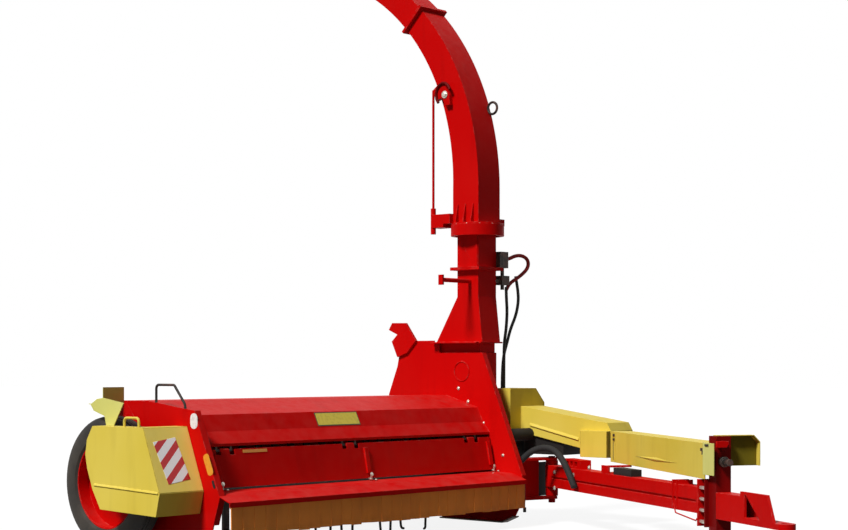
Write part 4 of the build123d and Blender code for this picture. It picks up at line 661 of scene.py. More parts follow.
class Shapes:
    """Collects simple solids of one piece in a single mesh."""

    washer_height = 0.25  # shares of the bolt head's height
    washer_sink = 0.001
    washer_reach = 1.45  # shares of the bolt head's radius
    washer_lip = 1.05
    dome_drop = 0.2
    dome_reach = 0.75
    ripple = 0.009
    ripple_low = 0.72

    def __init__(self) -> None:
        """Starts with an empty mesh."""
        self.mesh = bmesh.new()

    def prism(self, outline: list[Vector], along: Vector) -> None:
        """Adds a solid from a flat outline pushed along a vector.

        Args:
            outline: Corners of one end face.
            along: Vector from that face to the other.
        """
        near = [self.mesh.verts.new(point) for point in outline]
        far = [self.mesh.verts.new(point + along) for point in outline]
        count = len(outline)
        self.mesh.faces.new(near)
        self.mesh.faces.new(far[::-1])
        for index in range(count):
            after = (index + 1) % count
            self.mesh.faces.new((near[index], far[index], far[after], near[after]))

    def loft(self, rings: list[list[Vector]], closed: bool = False) -> None:
        """Adds a skin through rings of equally many points, with end faces where it is open.

        Args:
            rings: Rings of points, in order.
            closed: Whether the last ring joins the first.
        """
        made = [[self.mesh.verts.new(point) for point in points] for points in rings]
        count = len(made[0])
        pairs = list(zip(made, made[1:])) + ([(made[-1], made[0])] if closed else [])
        for first, second in pairs:
            for index in range(count):
                after = (index + 1) % count
                self.mesh.faces.new((first[index], first[after], second[after], second[index]))
        if not closed:
            self.mesh.faces.new(made[0][::-1])
            self.mesh.faces.new(made[-1])

    def turned(
        self, centre: Vector, axis: Vector, profile: list[Flat], sides: int, loop: bool = False
    ) -> None:
        """Adds a turned solid.

        Args:
            centre: Point on the axis.
            axis: Direction of the axis.
            profile: (distance along the axis, radius) pairs.
            sides: Number of sides round the axis.
            loop: Whether the profile closes on itself, as a ring's does.
        """
        axis = axis.normalized()
        across = axis.orthogonal().normalized()
        beside = axis.cross(across)
        rings = [ring(centre + axis * run, across, beside, radius, sides) for run, radius in profile]
        if loop:
            self.loft([list(points) for points in zip(*rings)], closed=True)
        else:
            self.loft(rings)

    def bolt(self, seat: Vector, along: Vector, radius: float, height: float) -> None:
        """Adds a hexagon bolt head on a washer.

        Args:
            seat: Point on the surface.
            along: Direction that the head points to.
            radius: Half of the head's width over its corners.
            height: The head's height.
        """
        washer = height * self.washer_height
        reach = radius * self.washer_reach
        lip = radius * self.washer_lip
        self.turned(seat, along, [(-self.washer_sink, reach), (washer, reach), (washer, lip)], FINE)
        dome = height - radius * self.dome_drop
        top = (height, radius * self.dome_reach)
        self.turned(seat, along, [(washer / 2, radius), (dome, radius), top], HEXAGON)

    def tube(self, points: list[Vector], radius: float, sides: int = ROUND) -> None:
        """Adds a round bar along points.

        Args:
            points: Points on its middle line.
            radius: Its radius.
            sides: Number of sides.
        """
        rings = []
        across = (points[1] - points[0]).orthogonal().normalized()
        for index, point in enumerate(points):
            before = points[max(0, index - 1)]
            after = points[min(len(points) - 1, index + 1)]
            tangent = (after - before).normalized()
            across = (across - tangent * across.dot(tangent)).normalized()
            rings.append(ring(point, across, tangent.cross(across), radius, sides))
        self.loft(rings)

    def weld(self, first: Vector, last: Vector, radius: float) -> None:
        """Adds a rippled weld bead between two points.

        Args:
            first: First point.
            last: Last point.
            radius: The bead's radius.
        """
        steps = 2 * max(2, int((last - first).length / self.ripple))
        tangent = (last - first).normalized()
        across = tangent.orthogonal().normalized()
        beside = tangent.cross(across)
        rings = []
        for step in range(steps + 1):
            size = radius * (1.0 if step % 2 else self.ripple_low)
            rings.append(ring(first.lerp(last, step / steps), across, beside, size, HEXAGON))
        self.loft(rings)

    def piece(
        self, name: str, body: str, finish: Finish, paints: Paints, smooth: float = 35.0
    ) -> bpy.types.Object:
        """Makes the collected mesh a piece that rides on a body.

        Args:
            name: The piece's name.
            body: CAD body that it moves with.
            finish: Its finish.
            paints: Built finishes.
            smooth: Largest angle between faces that are shaded as one, in degrees.

        Returns:
            The new object.
        """
        bmesh.ops.recalc_face_normals(self.mesh, faces=self.mesh.faces)
        limit = math.radians(smooth)
        for face in self.mesh.faces:
            face.smooth = True
        for edge in self.mesh.edges:
            if len(edge.link_faces) == 2 and edge.calc_face_angle(0.0) > limit:
                edge.smooth = False
        data = bpy.data.meshes.new(name)
        self.mesh.to_mesh(data)
        self.mesh.free()
        data.materials.append(paints.get(finish))
        piece = bpy.data.objects.new(name, data)
        bpy.context.scene.collection.objects.link(piece)
        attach(piece, body)
        log.info("piece %s on %s: %d faces", name, body, len(data.polygons))
        return piece


def edge_loop(
    centre: Vector, right: Vector, up: Vector, width: float, height: float, corner: float
) -> list[Vector]:
    """Returns the outline of a plate with round corners.

    Args:
        centre: Middle of the plate.
        right: Unit vector across it.
        up: Unit vector up it.
        width: Its width.
        height: Its height.
        corner: Radius of its corners.

    Returns:
        Points round the plate.
    """
    points = []
    corner_steps = 4
    for turn, sign_x, sign_y in ((0, 1, 1), (90, -1, 1), (180, -1, -1), (270, 1, -1)):
        middle = centre + right * sign_x * (width / 2 - corner) + up * sign_y * (height / 2 - corner)
        for step in range(corner_steps + 1):
            angle = math.radians(turn + 90 * step / corner_steps)
            points.append(middle + (right * math.cos(angle) + up * math.sin(angle)) * corner)
    return points


def soften(points: list[Vector], rounds: int) -> list[Vector]:
    """Cuts the corners of a line again and again, which leaves a smooth bend.

    Args:
        points: The line's points.
        rounds: How often its corners are cut.

    Returns:
        Points of the smooth line, with the same two ends.
    """
    near = 0.25
    for _ in range(rounds):
        cut = [points[0]]
        for first, second in zip(points, points[1:]):
            cut += [first.lerp(second, near), first.lerp(second, 1 - near)]
        points = cut + [points[-1]]
    return points


class Layout:
    """Places named from the machine's right side plate, its feed lip and the ground, in metres."""

    def __init__(self) -> None:
        """Reads the layout's zero and main sizes from the CAD nodes."""
        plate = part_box("side_plate_right")
        self.zero = Vector((plate[0].x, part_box("feed_lip")[0].y, 0.0))
        self.left_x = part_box("side_plate_left")[0].x - self.zero.x

    def at(self, x: float, y: float, z: float) -> Vector:
        """Turns a layout place into the frame's own."""
        return self.zero + Vector((x, y, z))

    def by_left(self, x: float, y: float, z: float) -> Vector:
        """Turns a place named from the left side plate into the frame's own."""
        return self.at(self.left_x + x, y, z)


@dataclass
class SubAssembly:
    """What every group of pieces needs: the layout and the finishes."""

    layout: Layout
    paints: Paints

    def build(self) -> None:
        """Builds the group's pieces."""
        raise NotImplementedError


# ---------------------------------------------------------------- machine
@dataclass
class CadSkins(SubAssembly):
    """The CAD nodes' own finishes."""

    frame: dict

    def build(self) -> None:
        """Gives each shown CAD node its own finish, or that of its material slot."""
        slots = {row["node"]: row["material_slot"] for row in self.frame["record"]["subparts"]}
        for name, node in self.frame["nodes"].items():
            finish = FINISH_OF_NODE.get(name, FINISH_OF_SLOT[slots[name]])
            node.data.materials.clear()
            node.data.materials.append(self.paints.get(finish))
            log.info("node %s gets %s", name, finish.name)


@dataclass
class Wheels(SubAssembly):
    """Ribbed tyres over the CAD tyres, and what is bolted to their rims."""

    segments: int = 64
    rim_gap: float = 0.0005
    # Sidewall points: in from the tyre's side, and out from its bead or down from its tread.
    wall_low: tuple[Flat, ...] = ((0.016, 0.0), (0.004, 0.012), (0.0, 0.03), (0.001, 0.062))
    wall_high: tuple[Flat, ...] = ((0.009, 0.026), (0.02, 0.01))
    shoulder: float = 0.026
    shoulder_drop: float = 0.004
    rib_count: int = 5
    rib_depth: float = 0.009
    groove_share: float = 0.13
    smooth: float = 28.0
    dish: float = 0.036
    bolt_count: int = 6
    bolt_ring: float = 0.08
    bolt_size: Flat = (0.012, 0.014)
    cap_place: float = 0.09
    # Hub cap: distance along the axis and radius.
    cap: tuple[Flat, ...] = ((0.0, 0.046), (0.012, 0.044), (0.02, 0.034), (0.022, 0.01))
    cap_sides: int = 24

    def build(self) -> None:
        """Builds both wheels."""
        for side, out in (("right", -1.0), ("left", 1.0)):
            self.tyre(side)
            self.fittings(side, X_AXIS * out)

    def profile(self, inner: float, outer: float, half: float) -> list[Flat]:
        """Returns the tyre's section as (run along the axis, radius) pairs.

        Args:
            inner: Bead radius.
            outer: Tread radius.
            half: Half of the tyre's width.

        Returns:
            The closed section.
        """
        wall = [(inward - half, inner + rise) for inward, rise in self.wall_low]
        wall += [(inward - half, outer - drop) for inward, drop in self.wall_high]
        tread: list[Flat] = []
        face = half - self.shoulder
        pitch = 2 * face / self.rib_count
        groove = pitch * self.groove_share
        for rib in range(self.rib_count):
            start = -face + rib * pitch
            crown = outer - (0.0 if 0 < rib < self.rib_count - 1 else self.shoulder_drop)
            tread += [(start + groove, crown), (start + pitch - groove, crown)]
            if rib < self.rib_count - 1:
                tread.append((start + pitch, outer - self.rib_depth))
        return wall + tread + [(-run, radius) for run, radius in wall[::-1]]

    def tyre(self, side: str) -> None:
        """Builds one tyre in its CAD node's place.

        Args:
            side: Side of the machine, right or left.
        """
        low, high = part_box(f"tyre_{side}")
        rim_low, rim_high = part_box(f"rim_{side}")
        inner = (rim_high.z - rim_low.z) / 2 + self.rim_gap
        section = self.profile(inner, (high.z - low.z) / 2, (high.x - low.x) / 2)
        shapes = Shapes()
        shapes.turned((low + high) / 2, X_AXIS, section, self.segments, loop=True)
        piece = shapes.piece(
            f"ribbed_tyre_{side}", f"wheel_{side}", Finish.TYRE, self.paints, self.smooth
        )
        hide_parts(f"tyre_{side}")

    def fittings(self, side: str, out: Vector) -> None:
        """Builds the wheel bolts and the hub cap of one wheel.

        Args:
            side: Side of the machine, right or left.
            out: Unit vector away from the machine.
        """
        low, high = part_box(f"tyre_{side}")
        centre = (low + high) / 2
        shapes = Shapes()
        for seat in ring(centre + out * self.dish, Y_AXIS, Z_AXIS, self.bolt_ring, self.bolt_count):
            shapes.bolt(seat, out, *self.bolt_size)
        shapes.piece(f"wheel_bolts_{side}", f"wheel_{side}", Finish.BRIGHT, self.paints)
        cap = Shapes()
        cap.turned(centre + out * self.cap_place, out, list(self.cap), self.cap_sides)
        cap.piece(f"hub_cap_{side}", f"wheel_{side}", Finish.STEEL, self.paints)


@dataclass
class Curtain(SubAssembly):
    """Hanging strips behind the lip's edge, with their clamp bar."""

    count: int = 30
    gap: float = 0.0011
    thickness: float = 0.006
    sway: float = 0.0025
    uneven_foot: float = 0.007
    uneven_cut: float = 0.003
    steps: int = 5
    seed: int = 7
    smooth: float = 60.0
    bar_gap: float = 0.001
    bar_thick: float = 0.005
    bar_top: float = 0.002
    bar_foot: float = 0.026
    bolt_row: float = 0.014
    bolt_margin: float = 0.06
    bolt_count: int = 16
    bolt_size: Flat = (0.008, 0.0072)

    def build(self) -> None:
        """Builds the strips and the clamp bar."""
        self.strips()
        self.clamp()

    def strips(self) -> None:
        """Builds the row of strips, each a little bent and cut unevenly."""
        low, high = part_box("strip_curtain")
        chance = random.Random(self.seed)
        pitch = (high.x - low.x) / self.count
        half = self.thickness / 2
        shapes = Shapes()
        for index in range(self.count):
            start = low.x + index * pitch
            end = start + pitch - self.gap
            lean = chance.uniform(-1, 1) * self.sway
            twist = chance.uniform(-1, 1) * self.sway
            foot = low.z + chance.uniform(0, self.uneven_foot)
            rings = []
            for step in range(self.steps + 1):
                share = step / self.steps
                z = high.z + (foot - high.z) * share
                y = (low.y + high.y) / 2 + lean * share * share
                tip = twist * share
                cut = chance.uniform(0, self.uneven_cut) * (step == self.steps)
                corners = (
                    (start, y - half + tip, z + cut),
                    (end, y - half - tip, z),
                    (end, y + half - tip, z),
                    (start, y + half + tip, z + cut),
                )
                rings.append([Vector(corner) for corner in corners])
            shapes.loft(rings)
        piece = shapes.piece("curtain_strips", "header", Finish.BELTING, self.paints, self.smooth)
        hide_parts("strip_curtain")

    def clamp(self) -> None:
        """Builds the bar and bolts that clamp the strips."""
        low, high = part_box("strip_curtain")
        back = high.y + self.bar_gap
        front = back + self.bar_thick
        top, foot = high.z - self.bar_top, high.z - self.bar_foot
        bar = Shapes()
        corners = ((back, top), (front, top), (front, foot), (back, foot))
        bar.prism([Vector((low.x, y, z)) for y, z in corners], X_AXIS * (high.x - low.x))
        start = Vector((low.x + self.bolt_margin, front, high.z - self.bolt_row))
        end = Vector((high.x - self.bolt_margin, front, high.z - self.bolt_row))
        for index in range(self.bolt_count):
            bar.bolt(start.lerp(end, index / (self.bolt_count - 1)), Y_AXIS, *self.bolt_size)
        bar.piece("curtain_clamp", "header", Finish.STEEL, self.paints)


@dataclass
class SwingHose(SubAssembly):
    """Ribbed hose from the left plate over to the beam."""

    radius: float = 0.021
    route: tuple[Point, ...] = (
        (0.028, 0.122, 0.352),
        (0.100, 0.085, 0.455),
        (0.140, -0.060, 0.505),
        (0.105, -0.215, 0.430),
        (0.055, -0.330, 0.262),
    )
    rib_pitch: float = 0.011
    rib_depth: float = 0.0022
    rib_shape: tuple[float, ...] = (0.0, 0.5, 1.0, 0.5)
    sides: int = 16
    resolution: int = 48
    shortest: float = 1e-6
    smooth: float = 80.0

    def build(self) -> None:
        """Builds the hose as one tube whose skin swells at every rib."""
        points = [self.layout.by_left(*place) for place in self.route]
        path = self.line(points)
        length = sum((after - before).length for before, after in zip(path, path[1:]))
        shapes = Shapes()
        shapes.loft(self.rings(path, length))
        piece = shapes.piece("swing_hose_ribbed", "header", Finish.HOSE, self.paints, self.smooth)
        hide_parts("swing_hose")
        tuple(points[0])
        [tuple(point) for point in path]

    def line(self, points: list[Vector]) -> list[Vector]:
        """Returns points read from one smooth spline through the route.

        Args:
            points: The route's points.

        Returns:
            Points on the spline, in order.
        """
        data = bpy.data.curves.new("hose_line", "CURVE")
        data.dimensions = "3D"
        spline = data.splines.new("NURBS")
        spline.points.add(len(points) - 1)
        for place, point in zip(spline.points, points):
            place.co = (*point, 1.0)
        spline.order_u = 3
        spline.use_endpoint_u = True
        spline.resolution_u = self.resolution
        curve = bpy.data.objects.new("hose_line", data)
        mesh = bpy.data.meshes.new_from_object(curve)
        path = [vertex.co.copy() for vertex in mesh.vertices]
        bpy.data.objects.remove(curve)
        bpy.data.meshes.remove(mesh)
        return path

    def rings(self, path: list[Vector], length: float) -> list[list[Vector]]:
        """Returns the hose's rings, evenly spaced along the path.

        Args:
            path: Points on its middle line.
            length: The path's length.

        Returns:
            The rings, one for each value of the rib's shape.
        """
        steps = int(length / self.rib_pitch) * len(self.rib_shape)
        lengths = [0.0]
        for first, second in zip(path, path[1:]):
            lengths.append(lengths[-1] + (second - first).length)
        rings = []
        across = (path[1] - path[0]).orthogonal().normalized()
        at = 0
        for step in range(steps + 1):
            run = length * step / steps
            while at < len(lengths) - 2 and lengths[at + 1] < run:
                at += 1
            span = max(lengths[at + 1] - lengths[at], self.shortest)
            point = path[at].lerp(path[at + 1], (run - lengths[at]) / span)
            tangent = (path[at + 1] - path[at]).normalized()
            across = (across - tangent * across.dot(tangent)).normalized()
            dip = self.rib_depth * self.rib_shape[step % len(self.rib_shape)]
            rings.append(ring(point, across, tangent.cross(across), self.radius - dip, self.sides))
        return rings


@dataclass(frozen=True)
class Face:
    """A face that runs along X, from its lower (y, z) edge to its upper one in the layout."""

    foot: Flat
    head: Flat

    def up(self) -> Vector:
        """Returns the unit vector from its foot to its head."""
        return Vector((0, self.head[0] - self.foot[0], self.head[1] - self.foot[1])).normalized()

    def out(self) -> Vector:
        """Returns the unit vector that it looks along."""
        return self.up().cross(-X_AXIS)

    def height(self) -> float:
        """Returns the distance from its foot to its head."""
        return math.dist(self.foot, self.head)

    def at(self, layout: Layout, x: float, share: float) -> Vector:
        """Returns a place on it.

        Args:
            layout: The machine's layout.
            x: Place along X.
            share: How far up the face, from 0 to 1.

        Returns:
            The place in the frame.
        """
        y = self.foot[0] + (self.head[0] - self.foot[0]) * share
        z = self.foot[1] + (self.head[1] - self.foot[1]) * share
        return layout.at(x, y, z)


@dataclass(frozen=True)
class Film:
    """A thin plate on a face: place along X, share of the way up, width, height and corner radius."""

    name: str
    body: str
    finish: Finish
    face: Face
    x: float
    share: float
    width: float
    height: float
    corner: float
    lift: float = SNUG
    thick: float = 0.0012


@dataclass(frozen=True)
class Sticker:
    """A thin plate on the right side plate's outer face, upright or along the plate's front edge."""

    name: str
    finish: Finish
    place: Flat
    width: float
    height: float
    corner: float
    upright: bool = False


BROW = Face((0.355, 0.650), (0.400, 0.740))
CHEEK = Face((0.080, 0.315), (0.281, 0.769))
DOOR = Face((0.250, 0.350), (0.2945, 0.561))
GUARD_FRONT = Face((0.205, 0.345), (0.340, 0.684))


@dataclass
class Labels(SubAssembly):
    """Blank nameplate, label and stickers with a dark patch of painted shade at a slot, and a brighter
    panel of painted light on the belt guard's sloping front.
    """

    films: tuple[Film, ...] = (
        Film("nameplate_frame", "header", Finish.NAME_FRAME, BROW, 1.17, 0.52, 0.35, 0.086, 0.004),
        Film(
            "nameplate_face", "header", Finish.NAMEPLATE, BROW, 1.17, 0.52, 0.338, 0.074, 0.003,
            lift=0.0019, thick=0.001,
        ),
        Film("door_label", "door", Finish.ORANGE_FILM, DOOR, 0.44, 0.9, 0.18, 0.017, 0.002),
    )
    stickers: tuple[Sticker, ...] = (
        Sticker("sticker_oval", Finish.WHITE_FILM, (0.285, 0.713), 0.058, 0.084, 0.028, upright=True),
        Sticker("sticker_orange", Finish.ORANGE_FILM, (0.170, 0.486), 0.046, 0.118, 0.018),
        # painted shade: a near-black patch where a slot in the plate lies in shade
        Sticker("plate_slot_shade", Finish.SLOT_SHADE, (0.128, 0.384), 0.017, 0.046, 0.008),
    )
    sticker_gap: float = 0.0004
    sticker_thick: float = 0.0012
    panel_margin: Flat = (0.006, 0.010)
    panel_corner: float = 0.003
    panel_lift: float = 0.0003
    panel_thick: float = 0.0006

    def build(self) -> None:
        """Builds the plates, the stickers and the panel."""
        for film in (*self.films, self.guard_painted_light_panel()):
            self.lay(film)
        for sticker in self.stickers:
            self.stick(sticker)

    def guard_painted_light_panel(self) -> Film:
        """Sizes the brighter panel on the belt guard's sloping front, around the striped plate; its lighter
        yellow is painted light for the light falling on that face.

        Returns:
            The panel.
        """
        low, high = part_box("belt_guard")
        return Film(
            name="guard_painted_light_panel",
            body="header",
            finish=Finish.LIT_YELLOW_PANEL,
            face=GUARD_FRONT,
            x=(low.x + high.x) / 2 - self.layout.zero.x,
            share=0.5,
            width=high.x - low.x - self.panel_margin[0],
            height=GUARD_FRONT.height() - self.panel_margin[1],
            corner=self.panel_corner,
            lift=self.panel_lift,
            thick=self.panel_thick,
        )

    def lay(self, film: Film) -> None:
        """Lays a thin plate on its face.

        Args:
            film: The plate.
        """
        face = film.face
        centre = face.at(self.layout, film.x, film.share) + face.out() * film.lift
        outline = edge_loop(centre, X_AXIS, face.up(), film.width, film.height, film.corner)
        shapes = Shapes()
        shapes.prism(outline, face.out() * film.thick)
        shapes.piece(film.name, film.body, film.finish, self.paints)

    def stick(self, sticker: Sticker) -> None:
        """Lays a sticker on the right plate's outer face.

        Args:
            sticker: The sticker.
        """
        up = Z_AXIS if sticker.upright else CHEEK.up()
        centre = self.layout.at(-self.sticker_gap, *sticker.place)
        outline = edge_loop(
            centre, up.cross(-X_AXIS), up, sticker.width, sticker.height, sticker.corner
        )
        shapes = Shapes()
        shapes.prism(outline, X_AXIS * -self.sticker_thick)
        shapes.piece(sticker.name, "header", sticker.finish, self.paints)


@dataclass
class PlateFittings(SubAssembly):
    """Pressed ring, flange, gusset, bolts and seams of the side plates. Places are (y, z)."""

    cover_place: Flat = (0.533, 0.970)
    cover_gap: float = 0.0004
    # Pressed ring: distance off the plate and radius.
    cover_profile: tuple[Flat, ...] = ((0.0, 0.058), (0.004, 0.060), (0.004, 0.064), (0.0, 0.066))
    flange_reach: float = 0.050
    flange_ends: Flat = (0.372, 0.765)
    flange_levels: Flat = (1.150, 1.158)
    gusset: tuple[Flat, ...] = ((0.860, 0.8148), (0.955, 0.676), (0.736, 0.671))
    gusset_gap: float = 0.0006
    gusset_thick: float = 0.003
    cheek_middle: float = 0.024
    cheek_bolts: tuple[float, ...] = (0.06, 0.3, 0.62, 0.9)
    plate_bolts: tuple[Flat, ...] = (
        (0.560, 0.860), (0.479, 0.775), (0.350, 0.640), (0.300, 0.470), (0.190, 0.440),
    )
    plate_bolt_size: Flat = (0.008, 0.007)
    lip_bolts: tuple[float, ...] = (0.10, 0.07, 0.03)
    lip_bolt_size: Flat = (0.007, 0.006)
    lip_corner: Flat = (0.085, 0.321)
    lip_rise: float = 0.1
    lip_lean: Point = (0.0, -0.25, 1.0)
    # Seams: their two places along X, from the right and from the left plate, and the hood's edges.
    seam_places: Flat = (0.009, -0.001)
    seam_line: tuple[Flat, ...] = ((0.667, 0.815), (0.400, 0.740), (0.355, 0.650), (0.300, 0.585))
    seam_radius: float = 0.004

    def build(self) -> None:
        """Builds the plates' fittings."""
        self.cover_ring()
        self.hopper_flange()
        self.plate_corner()
        self.bolts()
        self.seams()

    def cover_ring(self) -> None:
        """Builds the round pressed edge on the left plate's inner face."""
        centre = self.layout.by_left(-self.cover_gap, *self.cover_place)
        shapes = Shapes()
        shapes.turned(centre, -X_AXIS, list(self.cover_profile), WIDE, loop=True)
        shapes.piece("cover_ring", "header", Finish.RED, self.paints)

    def hopper_flange(self) -> None:
        """Builds the plate that overhangs the left plate below the hopper."""
        front, rear = self.flange_ends
        low, high = self.flange_levels
        corners = ((front, low), (rear, low), (rear, high), (front, high))
        shapes = Shapes()
        outline = [self.layout.by_left(-self.flange_reach, y, z) for y, z in corners]
        shapes.prism(outline, X_AXIS * (self.flange_reach - SNUG))
        shapes.piece("hopper_flange", "header", Finish.RED, self.paints)

    def plate_corner(self) -> None:
        """Builds the gusset that fills the right plate's rear upper corner down to the guard."""
        shapes = Shapes()
        outline = [self.layout.at(-self.gusset_gap, y, z) for y, z in self.gusset]
        shapes.prism(outline, X_AXIS * -self.gusset_thick)
        shapes.piece("plate_corner", "header", Finish.RED, self.paints)

    def bolts(self) -> None:
        """Builds the bolts of the left plate and of the lip beside it."""
        shapes = Shapes()
        out = CHEEK.out()
        middle = self.layout.left_x + self.cheek_middle
        for share in self.cheek_bolts:
            seat = CHEEK.at(self.layout, middle, share) + out * SNUG
            shapes.bolt(seat, out, *self.plate_bolt_size)
        for place in self.plate_bolts:
            shapes.bolt(self.layout.by_left(-SNUG, *place), -X_AXIS, *self.plate_bolt_size)
        y, z = self.lip_corner
        for run in self.lip_bolts:
            seat = self.layout.by_left(-run, y + run, z + self.lip_rise * run)
            shapes.bolt(seat, Vector(self.lip_lean), *self.lip_bolt_size)
        shapes.piece("side_plate_bolts", "header", Finish.BRIGHT, self.paints)

    def seams(self) -> None:
        """Builds the weld beads where the hood meets the side plates."""
        shapes = Shapes()
        right, left = self.seam_places
        for x in (right, self.layout.left_x + left):
            points = [self.layout.at(x, *place) for place in self.seam_line]
            for first, second in zip(points, points[1:]):
                shapes.weld(first, second, self.seam_radius)
        shapes.piece("hood_welds", "header", Finish.RED, self.paints)


@dataclass
class Latches(SubAssembly):
    """Eye bolts at the feet of the door's latches, with their washers on the lip."""

    places: tuple[float, ...] = (0.150, 1.300, 2.420)
    foot: Flat = (0.232, 0.348)
    lean: Point = (0.0, -0.3, 1.0)
    # Eye bolt: distance along it and radius.
    profile: tuple[Flat, ...] = ((-0.004, 0.013), (0.002, 0.013), (0.002, 0.007), (0.022, 0.007))
    # Bolts: offset from the latch's foot, direction, radius and height.
    bolts: tuple[tuple[Point, Point, float, float], ...] = (
        ((0.0, -0.008, 0.026), (0.0, -1.0, 0.3), 0.008, 0.007),
        ((0.020, -0.022, -0.006), (0.0, 0.0, 1.0), 0.006, 0.006),
    )

    def build(self) -> None:
        """Builds the eye bolts and their small bolts."""
        shapes = Shapes()
        for x in self.places:
            foot = self.layout.at(x, *self.foot)
            shapes.turned(foot, Vector(self.lean), list(self.profile), FINE)
            for offset, along, radius, height in self.bolts:
                shapes.bolt(foot + Vector(offset), Vector(along), radius, height)
        shapes.piece("latch_feet", "header", Finish.BRIGHT, self.paints)


@dataclass
class CurtainHooks(SubAssembly):
    """Short black hooks that hang from the lip behind the curtain, and the rod at its left end."""

    places: tuple[float, ...] = (0.707, 0.831, 0.911, 1.007, 1.226, 1.321, 1.398, 1.624)
    bends: Flat = (0.030, -0.022)
    foot: float = 0.062
    foot_step: float = 0.014
    foot_levels: int = 3
    # Hook points: share of its bend, y, and height; the tip's heights count from the hook's foot.
    shank: tuple[Point, ...] = ((0.0, 0.090, 0.285), (0.0, 0.092, 0.150))
    tip: tuple[Point, ...] = ((0.2, 0.092, 0.030), (0.3, 0.090, 0.0), (1.0, 0.088, -0.004))
    rounds: int = 2
    radius: float = 0.007
    pull_place: Flat = (0.015, 0.026)
    pull_levels: Flat = (0.285, 0.120)
    pull_radius: float = 0.004
    # Knob: distance along the rod and radius.
    knob: tuple[Flat, ...] = ((0.0, 0.010), (0.030, 0.010))

    def build(self) -> None:
        """Builds the hooks and the rod."""
        self.hooks()
        self.pull()

    def hooks(self) -> None:
        """Builds the row of hooks, bent to one side and the other in turn."""
        shapes = Shapes()
        for index, x in enumerate(self.places):
            low = self.foot - self.foot_step * (index % self.foot_levels)
            bend = self.bends[index % len(self.bends)]
            line = [self.layout.at(x + bend * share, y, z) for share, y, z in self.shank]
            line += [self.layout.at(x + bend * share, y, low + z) for share, y, z in self.tip]
            shapes.tube(soften(line, self.rounds), self.radius, THIN)
        shapes.piece("hanging_hooks", "header", Finish.BLACK_AND_SHADE, self.paints)

    def pull(self) -> None:
        """Builds the thin rod with a knob beside the curtain's left end."""
        head, foot = [self.layout.by_left(*self.pull_place, level) for level in self.pull_levels]
        rod = Shapes()
        rod.tube([head, foot], self.pull_radius, THIN)
        rod.turned(foot, -Z_AXIS, list(self.knob), ROUND)
        rod.piece("curtain_pull", "header", Finish.BLACK_AND_SHADE, self.paints)


@dataclass
class GuardTrim(SubAssembly):
    """Pressed ribs of the belt guard and of the tunnel over the gearbox."""

    guard_rib: tuple[Flat, Flat] = ((0.750, 0.366), (0.215, 0.345))
    guard_size: float = 0.006
    tunnel_rib: tuple[Flat, Flat] = ((0.200, 0.622), (-0.190, 0.538))
    tunnel_size: float = 0.0084
    tunnel_face: float = 0.2899
    sunk: float = 0.0004
    # A rib's section in shares of its size: its upper edge, its shoulder (out, up) and its foot.
    crown: float = 2.2
    shoulder: Flat = (0.4, 1.6)
    foot: float = 0.4

    def build(self) -> None:
        """Builds the ribs."""
        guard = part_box("belt_guard")[0].x
        tunnel = self.layout.by_left(self.tunnel_face, 0, 0).x
        self.crease("belt_guard_rib", guard, self.guard_rib, self.guard_size)
        self.crease("tunnel_rib", tunnel, self.tunnel_rib, self.tunnel_size)

    def crease(self, name: str, x: float, ends: tuple[Flat, Flat], size: float) -> None:
        """Builds a long rib with a sloping top and a sharp lower edge on a face that looks to -X.

        Args:
            name: The piece's name.
            x: The face's X in the frame.
            ends: First and last (y, z) of the rib.
            size: How far the rib stands out.
        """
        first, last = ends
        start = Vector((x, self.layout.zero.y + first[0], first[1]))
        along = Vector((0, last[0] - first[0], last[1] - first[1]))
        section = (
            (self.sunk, size * self.crown),
            (-size * self.shoulder[0], size * self.shoulder[1]),
            (-size, 0.0),
            (self.sunk, -size * self.foot),
        )
        shapes = Shapes()
        shapes.prism([start + Vector((out, 0, up)) for out, up in section], along)
        shapes.piece(name, "header", Finish.YELLOW, self.paints)


